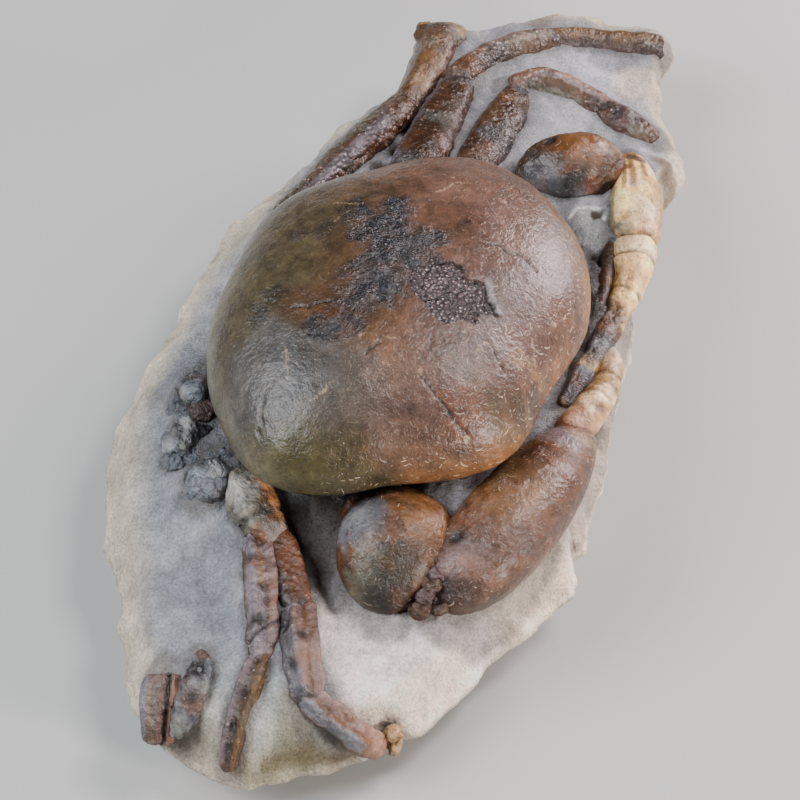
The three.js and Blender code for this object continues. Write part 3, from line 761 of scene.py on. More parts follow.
def limbSurface(part, around, ringCount):
    # A tube along the smooth middle line: an oval section of the line's half-width, which closes at
    # both ends as the root of one less a power of the distance from mid-length.
    t = 0.5 - 0.5 * np.cos(np.linspace(0, math.pi, ringCount + 2)[1:-1])
    middle, radius, forward = limbLine(part, t)
    side = np.cross((0, 0, 1), forward)
    side /= np.linalg.norm(side, axis=1, keepdims=True)
    up = np.cross(forward, side)
    width = radius * np.sqrt(1 - np.abs(2 * t - 1) ** part["blunt"])
    turn = np.arange(around) / around * 2 * math.pi
    cosine, sine = (np.sign(v) * np.abs(v) ** part["square"] for v in (np.cos(turn), np.sin(turn)))
    across = (width[:, None] * cosine)[..., None] * side[:, None]
    rise = (width[:, None] * part["high"] * sine)[..., None] * up[:, None]
    return middle[:, None] + across + rise, t, np.degrees(turn)


def turnAway(turn, middle):
    # The smaller angle between two turns, in degrees.
    return np.abs((turn - middle + 180) % 360 - 180)


def knobBand(x, y, z, radius, colour, seed):
    # A crumpled bit of shell or stone: a low ball of rings, moved in and out by folded noise.
    rise = np.linspace(0, math.pi, knobShape["rings"])[1:-1, None]
    turn = np.arange(knobShape["around"]) / knobShape["around"] * 2 * math.pi
    wide = np.sin(rise)
    ball = np.stack([wide * np.cos(turn), wide * np.sin(turn), np.cos(rise) + 0 * turn], axis=-1)
    folds = np.abs(noise(ball * radius, radius * 1.5, 4, seed, 0.6))
    swell = radius * (knobShape["swell"] - knobShape["folds"] * folds)
    rings = np.array([x, y, z]) + ball * swell[..., None] * (1, 1, knobShape["flat"])
    shade = 0.3 + 0.7 * swell / radius + 0.5 * noise(rings, 1.6, 3, seed + 1)
    tint = np.array(palette[colour]) * np.clip(shade, 0.3, 1.6)[..., None]
    return makeBand(rings, tint, rough=knobShape["rough"], nodules=knobShape["nodules"], fleck=0, crackle=0)


def makeLimb(name, material, seed):
    # The tube of limbSurface, moved along its normals by noise, keels, lumps, grooves and cracks. Painted
    # with its kind's colours, its stripes and its patches, and darkened where it is sunk and at its ends.
    part = {**limbLooks[limbKind(name)], **limbs[name]}
    line = np.array(part["line"], float)
    halfWidth = line[:, 3].mean()
    length = np.linalg.norm(np.diff(line[:, :3], axis=0), axis=1).sum()
    around = int(np.clip(2 * math.pi * halfWidth / limbDetail["spacing"], *limbDetail["around"]))
    ringCount = int(np.clip(length / limbDetail["spacing"], *limbDetail["rings"]))
    rings, t, turn = limbSurface(part, around, ringCount)
    normal = outwardNormals(rings)
    t, turn = t[:, None] + 0 * turn, turn + 0 * t[:, None]

    def spotDistance(at, facing):
        row, column = np.abs(t[:, 0] - at).argmin(), turnAway(turn[0], facing).argmin()
        return np.linalg.norm(rings - rings[row, column], axis=-1)

    depth = part["relief"]
    broad = noise(rings, limbDetail["broad"], 2, seed + 3)
    relief = depth * noise(rings, part["grain"], 4, seed) + limbDetail["broadShare"] * depth * broad
    sunk = 0.0 * relief
    for facing, width, height, begin, end in part["keels"]:
        keel = np.exp(-(turnAway(turn, facing) / width) ** 2)
        relief += height * keel * stretch(t, begin, end, limbDetail["keelSoft"])
    for at, facing, radius, height in part["lumps"]:
        dome = np.exp(-(spotDistance(at, facing) / radius) ** 2)
        relief += height * dome
        sunk += dome * max(-height, 0)
    size, sway = limbDetail["wander"]
    for at, width, drop in part["grooves"]:
        wander = sway * noise(rings, size, 2, seed + 21)
        groove = np.exp(-(((t - at) * length + wander) / width) ** 2)
        relief -= drop * groove
        sunk += drop * groove
    ends = smooth(np.minimum(t, 1 - t) * length, limbDetail["endWidth"], 0.1)
    crumble = limbDetail["fineShare"] + limbDetail["endShare"] * ends
    relief += crumble * depth * noise(rings, limbDetail["fine"], 3, seed + 9)

    patch = noise(rings, limbDetail["patch"], 4, seed + 7)
    ground = noise(rings, limbDetail["ground"], 4, seed + 5)
    bare = smooth(patch, 0.42 - part["share"], 0.62 - part["share"])
    tint = np.broadcast_to(np.array(palette[part["first"]]), rings.shape)
    tint = blend(tint, palette[part["second"]], smooth(ground, -0.2, 0.3))
    tint = blend(tint, palette[part["third"]], bare * 0.6)
    ragged = limbDetail["edgeAmount"] * noise(rings, limbDetail["edge"], 3, seed + 13)
    for facing, width, begin, end, colour, strength in part["stripes"]:
        run = stretch(t, begin, end, limbDetail["stripeSoft"], 0.08 * ragged)
        off = turnAway(turn, facing) / width + ragged
        tint = blend(tint, palette[colour], strength * run * (1 - smooth(off, 0.6, 1.2)))
    for at, facing, radius, colour, strength in part["patches"]:
        off = spotDistance(at, facing) / radius + ragged
        tint = blend(tint, palette[colour], strength * (1 - smooth(off, 0.5, 1.1)))
    crack = 0 * t
    for crackLine in part["cracks"]:
        unrolled = np.stack([t * length, turn * math.pi / 180 * halfWidth], axis=-1)
        unrolled = unrolled + 0.4 * np.stack([ragged, -ragged], axis=-1)
        way = [(at * length, facing * math.pi / 180 * halfWidth) for at, facing in crackLine]
        crack = np.maximum(crack, 1 - smooth(lineDistance(unrolled, way), 0.1, limbDetail["crackWidth"]))
    relief -= limbDetail["crackDepth"] * crack
    tint = blend(tint, palette["pit"], 0.9 * crack)
    tint = blend(tint, palette["charcoal"], np.clip(sunk * limbDetail["sunkDark"], 0, 0.75))
    tint = blend(tint, palette["charcoal"], ends * limbDetail["endDark"])
    mottle = 1
    for number, size in enumerate(limbDetail["mottle"]):
        mottle = mottle + limbDetail["mottleAmount"] * noise(rings, size, 3, seed + 31 + 2 * number)
    hollows = np.clip(1 + 0.6 * relief / depth, 0.45, 1.25)
    tint = tint * (part["shade"] * mottle * hollows)[..., None]

    rings = rings + normal * relief[..., None]
    rings[..., 2] = np.maximum(rings[..., 2], limbDetail["lowest"])
    rough = np.clip(0.3 * ends + 0.5 * smooth(patch, 0.1, 0.5) + 0.3 * sunk, 0, 1)
    nodules = part["nodules"] * smooth(patch + 0.3 * broad, -0.5, 0.2)
    bands = [makeBand(rings, tint, rough=rough, nodules=nodules,
                      fleck=part["fleck"], crackle=part["crackle"])]
    bands += [knobBand(*knob, seed + 41 + number) for number, knob in enumerate(part["knobs"])]
    node = "left_claw_palm" if name == "left_claw_fixed_finger" else name
    makePiece(name + "_shell", bands, material, node)


# The varnish on each kind of shell: roughness of its ground, share of places with a stroke, depth of its
# bumps in millimetres, weight of the clear coat and size of a nodule in millimetres.
varnishes = {
    "carapace": {"gloss": 0.3, "strokes": 0.75, "bumps": 0.34, "coat": 0.05, "nodule": 1.0},
    "claw": {"gloss": 0.22, "strokes": 0.45, "bumps": 0.45, "coat": 0.06, "nodule": 1.3},
    "bone": {"gloss": 0.34, "strokes": 0.2, "bumps": 0.45, "coat": 0.06, "nodule": 1.3},
    "pale": {"gloss": 0.38, "strokes": 0.15, "bumps": 0.6, "coat": 0.06, "nodule": 1.3},
    "leg": {"gloss": 0.24, "strokes": 0.2, "bumps": 0.7, "coat": 0.1, "nodule": 1.8},
    "stub": {"gloss": 0.3, "strokes": 0.1, "bumps": 0.8, "coat": 0.1, "nodule": 1.8},
}
coatRoughness = 0.2

# Patterns under the varnish. Noise: size in millimetres, detail, roughness.
varnishNoise = {
    "speckle": (1.0, 3, 0.7),
    "blotch": (3.2, 4, 0.65),
    "leather": (1.3, 2, 0.6),
    "cluster": (7.0, 3, 0.7),
}
# Strokes: spacing, length and width in millimetres, and bend.
longStrokes = (3.2, 1.2, 0.17, 0.22)
shortStrokes = (2.0, 0.55, 0.16, 0.35)
creviceSize = 3.6

# The paler blotches multiply the tint. Over it lie layers of paint: colour, strength.
blotchShade = ((1.45, 1.36, 1.3), 0.55)
varnishPaint = {
    "darkSpeck": ((0.022, 0.015, 0.012), 0.5),
    "paleSpeck": ((0.36, 0.28, 0.24), 0.3),
    "noduleGap": ((0.02, 0.015, 0.015), 0.55),
    "stroke": ((0.70, 0.54, 0.39), 0.9),
    "paintedSparkle": ((0.66, 0.53, 0.53), 0.75),
    "crevice": ((0.02, 0.02, 0.022), 0.85),
}


def shellFinish(kind):
    # Varnished fossil shell: the painted tint, broken up by speckle, pits, painted sparkle highlights
    # and short cream strokes.
    own = varnishes[kind]
    coat = Finish(kind + "Varnish")
    tint = coat.attribute("tint", "Color")
    keys = ("rough", "nodules", "fleck", "crackle")
    rough, nodules, fleck, crackle = (coat.attribute(key) for key in keys)
    speckle, blotch, leather, cluster = (coat.noise(*pattern) for pattern in varnishNoise.values())
    strokes = coat.flecks(*longStrokes, own["strokes"])
    dashes = coat.flecks(*shortStrokes, own["strokes"])
    grains = coat.cells(own["nodule"])
    scattered = strokes * blotch.step(0.4, 0.48) + dashes * 0.7
    marks = (scattered * fleck * cluster.step(0.38, 0.52)).maths("MINIMUM", 1.0)
    crevice = crackle * coat.cells(creviceSize, "DISTANCE_TO_EDGE").step(0.07, 0.02)
    shade, strength = blotchShade
    colour = coat.mix(blotch.step(0.42, 0.62) * strength, tint, coat.times(tint, shade))
    layers = {
        "darkSpeck": speckle.step(0.52, 0.66),
        "paleSpeck": speckle.step(0.36, 0.26),
        "noduleGap": nodules * grains.step(0.35, 0.6),
        "stroke": marks,
        # Pale dots on the tops of the nodules: painted sparkle highlights.
        "paintedSparkle": nodules * grains.step(0.3, 0.12) * speckle.step(0.46, 0.56),
        "crevice": crevice,
    }
    for key, mask in layers.items():
        paint, strength = varnishPaint[key]
        colour = coat.mix(mask * strength, colour, paint)
    height = (leather * 0.75 + speckle * 0.6 + blotch * 0.2 + nodules * (1 - grains) * 1.8
              + marks * 0.2 - crevice * 2)
    tilt = coat.bump(height + rough * speckle * 3.0, own["bumps"])
    shine = own["gloss"] - 0.06 * rough + 0.3 * (speckle - 0.5) + 0.2 * marks - 0.08 * nodules
    return coat.finish(Base_Color=colour, Roughness=shine, Normal=tilt, Coat_Weight=own["coat"],
                       Coat_Roughness=coatRoughness, Specular_IOR_Level=0.5)


stone = {
    # The widest line, clockwise from the far end: x, y, height of the edge, width of the rounded edge.
    "edge": [
        (5, 127, 30, 6), (16, 122, 32, 6), (28, 127, 30, 6), (46, 132, 30, 7), (58, 134, 28, 8),
        (62, 129, 28, 8), (74, 129, 26, 8), (79, 123, 24, 8), (77, 111, 22, 9), (76, 97, 22, 9),
        (79, 80, 22, 10), (81, 73, 20, 11), (80, 68, 18, 12), (72, 56, 18, 12), (69, 46, 18, 10),
        (65, 30, 18, 9), (62, 20, 18, 9), (60, 2, 18, 9), (55, -16, 18, 9), (52, -33, 17, 10),
        (49, -46, 16, 12), (44, -65, 15, 16), (41.5, -69, 15, 16), (42, -78, 15, 20), (34, -86, 14, 22),
        (19, -100, 13, 24), (10, -112, 12, 26), (-3, -123, 12, 26), (-20, -129, 10, 26),
        (-39, -135, 10, 24), (-52, -130, 10, 20), (-64, -121, 13, 14), (-71, -106, 15, 13),
        (-73, -85, 17, 12), (-78, -65, 18, 12), (-80, -38, 20, 12), (-75, -20, 22, 12),
        (-66, 1, 24, 11), (-57, 26, 27, 10), (-48, 44, 28, 9), (-34, 56, 30, 7), (-26, 71, 30, 6),
        (-12, 86, 30, 6), (-2, 99, 30, 6),
    ],
    # Heights of the top at a few places: x, y, z.
    "levels": [
        (-60, -50, 30), (-62, -90, 28), (-48, -112, 27), (-27, -108, 31), (-24, -80, 26), (0, -108, 29),
        (20, -95, 29), (40, -60, 30), (45, -20, 31), (55, 20, 32), (45, 55, 33), (65, 75, 30),
        (70, 115, 30), (30, 108, 35), (0, 98, 36), (15, 70, 37), (-20, 60, 37), (-45, 20, 34),
        (-60, -10, 32), (0, 0, 34),
    ],
    "softness": 120,
    "power": 1.6,
    "spot": (27, 48, 18),   # half-width, half-length and lean of the flat spot underneath
    "underCurve": 2.3,
    "underSwell": 0.8,
    "around": 640,
    "topRings": 108,
    "underRings": 38,
    # Ridges and lumps of stone: a line of x, y, z, radius. The second value is how rough and dark it is.
    "lumps": {
        "knob": ([(47, 45, 35.5, 5), (50, 40, 37, 6), (50.5, 33, 36.5, 5.5), (50.5, 27, 34, 4)], 0.22),
        "ridge": ([(47.5, 22, 34.5, 3.5), (48.5, 12, 34, 5), (49, -4, 33.5, 4), (45, -20, 32, 3)], 1.0),
        "valley": ([(13, 66, 37, 2.5), (16, 82, 37, 2.5), (21, 93, 36, 2.5), (31, 103, 34, 2.5)], 0.0),
        "web": ([(8, 56, 39, 3), (11, 62, 38, 3)], 0.0),
        "clawGap": ([(7, -67, 42.5, 4), (12, -67.5, 43.5, 4.5), (18, -66, 43, 3.5), (24, -60, 41, 3)], 0.25),
        "clawTop": ([(-20, -65, 40, 3.5), (-14, -66, 42.5, 3.5), (-7, -66.5, 43, 3)], 0.3),
        "leftFill": ([(-49, -49, 37, 6), (-46, -57, 37, 6), (-43, -63, 36, 5)], 0.45),
        "stubSeat": ([(-52, -30, 34.5, 5), (-52, -40, 34.5, 6), (-52, -50, 34, 6), (-48, -60, 33.5, 6)],
                     0.5),
    },
    # Hollows in the top: x, y, radius, depth, and how dark the painted shadow in them is.
    "hollows": [
        (-24, -73, 13, 4, 0.85), (-27, -86, 8, 1.6, 0.45), (-19, -89, 7, 1.4, 0.35), (-8, 54, 3.5, 3, 0.95),
        (-4, 62, 3.2, 4, 1), (-0.5, 71, 3, 4, 1), (3, 80, 2.8, 3.5, 0.95), (7, 89, 2.5, 2, 0.6),
        (46, -31, 6, 3, 0.95), (49, -21, 5, 3, 0.9), (41, -42, 5, 2.4, 0.8), (43, 4, 5, 3, 0.9),
        (42, 17, 4, 2, 0.8), (-6, -122.5, 2.4, 2.5, 0.9), (52, 22, 2.5, 2, 0.8), (52, 36.6, 2.2, 1.6, 0.95),
        (37, -76, 9, 0.5, 0.0),
    ],
    # A pale broken edge along the block below the left claw.
    "rim": [(44.2, 36.2), (46, 38.4), (48.1, 39.5), (52.6, 38.8), (54.2, 36)],
    # A brown line across the low facet at the near end.
    "seam": [(-36, -131), (-29, -129), (-21, -127), (-13, -126.5), (-8, -128)],
    # Places on the top: x, y, radius, colour, strength. Most are stains; the white and cream places at
    # the near end and along the right are partly pale rind and partly painted light.
    "stainsAndLight": [
        (53, 97, 20, "paleBlue", 0.7), (66, 72, 5, "paleBlue", 0.7), (69, 100, 10, "sand", 0.6),
        (73, 60, 7, "stain", 0.8), (70, 64, 4, "stain", 0.5), (41, 126, 6, "stain", 0.6),
        (62, 84, 6, "stain", 0.35),
        (46, 84, 8, "paleBlue", 0.5), (24, 60, 6, "paleBlue", 0.5), (-14, -103, 17, "white", 0.7),
        (-4, -112, 15, "white", 0.8), (12, -99, 15, "white", 0.85), (26, -90, 13, "cream", 0.85),
        (38, -70, 12, "cream", 0.85), (48, -45, 9, "cream", 0.8), (52, -20, 7, "cream", 0.7),
        (4, -118, 12, "cream", 0.85),
        (14, -108, 9, "cream", 0.8), (-9, -121, 8, "cream", 0.6), (-50, -82, 13, "blueGrey", 0.7),
        (-55, -95, 13, "blueGrey", 0.6), (-46, -98, 8, "blueGrey", 0.4), (-60, -70, 9, "blueGrey", 0.4),
        (-33, -122, 10, "haze", 0.7), (-46, -120, 9, "haze", 0.6), (-28, -129, 9, "moss", 0.6),
        (-38, -133, 8, "moss", 0.7),
        (-16, -129, 6, "moss", 0.6), (-74, -96, 5, "straw", 0.6), (-70, -112, 6, "straw", 0.5),
        (34, -82, 10, "cream", 0.9), (42, -60, 10, "cream", 0.9), (50, -36, 8, "cream", 0.8),
        (49, 37, 6, "haze", 0.7), (51, 30, 4, "haze", 0.5),
    ],
    # How the stone climbs to what lies in it: how far it reaches up a slim part and a thick one, for their
    # half-width, where it starts, how fast it falls away and the most that it rises.
    "seat": {"steps": 28, "slim": 8, "slimLift": 0.2, "thickLift": -0.35,
             "width": 0.9, "fall": 0.55, "most": 6},
    "lumpReach": 1.6,   # how far a lump goes out, for its radius
    # Heights of the relief in millimetres.
    "heights": {"broad": 0.8, "grain": 0.45, "chips": 1.8, "bowls": 2.8, "smallBowls": 1.0,
                "ridgeGrain": 1.6, "ridgeFolds": 2.4, "seam": 1.2},
}
# The fresh face and the rind around it, what lies on both, and the stains. The white and cream are
# partly painted light; the colours of the hollows and of the band along what lies on the stone are
# painted shade.
stonePaint = {
    "fresh": (0.29, 0.295, 0.325), "freshPale": (0.46, 0.445, 0.46), "under": (0.24, 0.20, 0.155),
    "rind": (0.62, 0.53, 0.42), "rindDull": (0.47, 0.42, 0.33), "ridge": (0.055, 0.052, 0.055),
    "contactShade": (0.13, 0.12, 0.115), "rim": (0.75, 0.73, 0.72), "seam": (0.11, 0.085, 0.04),
    "hollowShadow": (0.06, 0.046, 0.036), "paleBlue": (0.57, 0.54, 0.60), "sand": (0.58, 0.45, 0.33),
    "stain": (0.16, 0.11, 0.07),
    "white": (1.0, 0.86, 0.83), "cream": (1.0, 0.81, 0.64), "blueGrey": (0.22, 0.235, 0.27),
    "haze": (0.40, 0.42, 0.40), "moss": (0.20, 0.18, 0.095), "straw": (0.52, 0.48, 0.30),
}


def stoneLevel(x, y):
    # The blended height of the named levels, nearer ones counting more.
    spots = np.array(stone["levels"], float)
    near = (x[..., None] - spots[:, 0]) ** 2 + (y[..., None] - spots[:, 1]) ** 2 + stone["softness"]
    weight = near ** -stone["power"]
    return (weight * spots[:, 2]).sum(axis=-1) / weight.sum(axis=-1)


def stoneSurface():
    # Top: from the middle out to the edge along straight spokes, level inside and falling over the edge's
    # width, part evenly and part as one less the square of the way out. Underside: from the edge in to an
    # oval flat spot, curving down to it.
    edge = along(stone["edge"], np.arange(stone["around"]) / stone["around"], closed=True)
    reach = np.hypot(edge[:, 0], edge[:, 1])
    out = np.linspace(0, 1, stone["topRings"])[1:] ** 0.75
    share = out[:, None]
    x, y = edge[:, 0] * share, edge[:, 1] * share
    inward = (1 - share) * reach
    slope = np.minimum(inward / edge[:, 3], 1)
    rounded = 0.6 * np.minimum(slope * 1.1, 1) + 0.4 * (1 - (1 - slope) ** 2)
    level = stoneLevel(x, y)
    z = edge[:, 2] + (level - edge[:, 2]) * rounded
    top = np.stack([x, y, z], axis=-1)
    width, length, lean = stone["spot"]
    angle = np.arctan2(edge[:, 1], edge[:, 0])
    turned = angle + math.radians(lean)
    radius = 1 / np.hypot(np.cos(turned) / width, np.sin(turned) / length)
    spotX, spotY = radius * np.cos(angle), radius * np.sin(angle)
    back = np.linspace(1, 0, stone["underRings"])[1:, None]
    rise = 1 - (1 - back ** stone["underCurve"]) ** stone["underSwell"]
    under = np.stack([spotX + (edge[:, 0] - spotX) * back, spotY + (edge[:, 1] - spotY) * back,
                      edge[:, 2] * rise], axis=-1)
    rings = np.concatenate([top, under])
    fromEdge = np.concatenate([inward, (back - 1) * (reach - radius)])
    return rings, fromEdge, np.broadcast_to(edge[:, 3], fromEdge.shape)


def seatHeight(rings):
    # How high the stone climbs around what lies in it: near the middle line of a slim part and well
    # below that of a thick one, falling away with distance. Also the gap to the nearest part in plan.
    own = stone["seat"]
    seat = np.full(rings.shape[:2], -99.0)
    gap = np.full(rings.shape[:2], 99.0)
    for part in limbs.values():
        middle, radius, _ = limbLine(part, np.linspace(0, 1, own["steps"]))
        lift = part.get("lift", own["slimLift"] if radius.max() < own["slim"] else own["thickLift"])
        for (x, y, z), halfWidth in zip(middle, radius):
            away = planDistance(rings, x, y) - halfWidth * own["width"]
            seat = np.maximum(seat, z + lift * halfWidth - own["fall"] * np.maximum(away, 0))
            gap = np.minimum(gap, away)
    return seat, gap


def makeStone(material):
    # The surface climbs to what lies in it, rises over its lumps and sinks in its hollows, and is then
    # moved along its normals by noise, chips, bowls and the seam. Painted as fresh face and, towards the
    # edge, rind, with stains over both; painted light brightens the pale places at the near end and the
    # right side, and painted shade darkens the hollows and the stone along and near what lies on it.
    rings, fromEdge, bevel = stoneSurface()
    height, reach = stone["heights"], stone["lumpReach"]
    plan = rings.copy()
    plan[..., 2] = 0
    normal = outwardNormals(rings)
    onTop = fromEdge > 0
    inside = smooth(fromEdge, 2, 9)
    seat, gap = seatHeight(rings)
    climb = np.clip(seat - rings[..., 2], 0, stone["seat"]["most"])
    rings[..., 2] += np.where(onTop, climb * inside, 0)
    dark = np.zeros(rings.shape[:2])
    for line, roughness in stone["lumps"].values():
        nearest = np.full(rings.shape[:2], 99.0)
        for x, y, z, radius in along(line, np.linspace(0, 1, 24)):
            away = planDistance(rings, x, y) / radius
            dome = z - radius + radius * np.sqrt(np.clip(1 - (away / reach) ** 2, 0, 1))
            rings[..., 2] = np.where(onTop & (away < reach), np.maximum(rings[..., 2], dome), rings[..., 2])
            nearest = np.minimum(nearest, away)
        dark = np.maximum(dark, roughness * smooth(nearest, 1.5, 1.0))
    # Painted shadow: the hollows are darkened where shade falls in them.
    shadow = np.zeros(rings.shape[:2])
    loose = shaken(plan, 4.0, 2.0, 73)
    for x, y, radius, depth, shade in stone["hollows"]:
        basin = np.exp(-(planDistance(loose, x, y) / radius) ** 2) * onTop
        rings[..., 2] -= depth * basin
        shadow = np.maximum(shadow, shade * smooth(basin, 0.15, 0.6) * smooth(fromEdge, 0, 5))
    chips = (0.4 - np.abs(noise(plan, 15.0, 4, 3))) * smooth(fromEdge, 22, 0) * smooth(fromEdge, -30, 0)
    broken = smooth(fromEdge + 4 * noise(plan, 14.0, 2, 81), 15, 4) * smooth(fromEdge, -45, -12)
    bowls = ((chipped(rings, 13.0, 83) - 0.3) * height["bowls"]
             + (chipped(rings, 5.0, 87) - 0.3) * height["smallBowls"])
    folds = 0.3 - np.abs(noise(rings, 4.5, 3, 33))
    seam = onTop * smooth(lineDistance(shaken(plan, 5.0, 1.5, 85), stone["seam"]), 1.8, 0.2)
    wave = (noise(rings, 24.0, 3, 11) * height["broad"] + noise(rings, 5.0, 4, 21) * height["grain"]
            + chips * height["chips"] + broken * bowls)
    wave = wave + dark * (noise(rings, 2.2, 3, 31) * height["ridgeGrain"] + folds * height["ridgeFolds"])
    wave = wave - height["seam"] * seam
    flat = smooth(rings[..., 2], 0.0, 3.0)
    rings = rings + normal * (wave * flat)[..., None]

    rough = shaken(plan, 12.0, 6.0, 71)
    boundary = fromEdge - np.minimum(bevel * 0.8, 10) + noise(plan, 18.0, 5, 41) * 9
    rind = 1 - smooth(boundary, -6, 6)
    fresh, skin = (np.broadcast_to(np.array(stonePaint[key]), rings.shape) for key in ("fresh", "rind"))
    cloud = smooth(noise(plan, 20.0, 4, 43), -0.35, 0.35)
    tint = blend(fresh, stonePaint["freshPale"], cloud * 0.7)
    skin = blend(skin, stonePaint["rindDull"], smooth(noise(plan, 13.0, 4, 45), -0.2, 0.4))
    tint = blend(tint, skin, rind)
    for x, y, radius, colour, strength in stone["stainsAndLight"]:
        away = planDistance(rough, x, y) / radius
        tint = blend(tint, stonePaint[colour], strength * (1 - smooth(away, 0.4, 1.1)) * onTop)
    tint = blend(tint, stonePaint["ridge"], dark * (0.7 + 0.5 * noise(rings, 2.6, 3, 47)))
    # Painted shade: the stone is darker near what lies on it, most on the far side.
    far = smooth(-rings[..., 0] + rings[..., 1], -20, 60)
    near = onTop * smooth(gap + 5 * noise(plan, 9.0, 3, 78), 12, 1) * far
    tint = tint * (1 - 0.3 * near)[..., None]
    # Painted shade: a dark band on the stone along the foot of each part that lies on it.
    contactShade = onTop * smooth(gap + 1.2 * noise(plan, 3.0, 3, 77), 2.6, 0.2)
    rim = smooth(lineDistance(shaken(plan, 2.0, 0.5, 79), stone["rim"]), 0.9, 0.4)
    under = smooth(fromEdge, -2, -12)
    layers = {"contactShade": contactShade * 0.7, "rim": rim, "seam": seam * 0.8, "hollowShadow": shadow, "under": under * 0.85}
    for key, mask in layers.items():
        tint = blend(tint, stonePaint[key], mask)
    veins = 0.5 - np.abs(noise(plan, 16.0, 5, 91, 0.65)) * 3
    tint = tint * (1 + 0.3 * noise(rings, 2.2, 3, 49) + 0.3 * chips + 0.22 * np.clip(veins, -0.6, 0.5)
                   + 0.35 * broken * (bowls / height["bowls"]))[..., None]
    makePiece("stone", [makeBand(rings, tint, dark=dark)], material, "stone_slab")


# Noise: size in millimetres, detail, roughness. Shades multiply the tint: in blotches, dark and pale grains.
stoneGrain = (0.8, 3, 0.8)
stoneCoarse = (5.0, 5, 0.7)
stoneShades = {"lit": (1.32, 1.28, 1.26), "deep": (0.55, 0.55, 0.58), "bright": (1.5, 1.46, 1.42)}
stoneBump = 0.8


def stoneFinish():
    # Dry, sandy stone: the painted tint with pale and dark grains, and a fine pitted surface.
    coat = Finish("stoneMatte")
    tint, dark = coat.attribute("tint", "Color"), coat.attribute("dark")
    grain, coarse = coat.noise(*stoneGrain), coat.noise(*stoneCoarse)
    masks = {
        "lit": coarse.step(0.42, 0.62) * 0.6,
        "deep": grain.step(0.52, 0.62) * 0.5,
        "bright": grain.step(0.5, 0.38) * 0.7,
    }
    colour = tint
    for key, mask in masks.items():
        colour = coat.mix(mask, colour, coat.times(tint, stoneShades[key]))
    tilt = coat.bump(grain * 1.0 + coarse * 2.2 + dark * grain * 2, stoneBump)
    return coat.finish(Base_Color=colour, Roughness=0.88 - 0.5 * dark, Normal=tilt, Specular_IOR_Level=0.3)


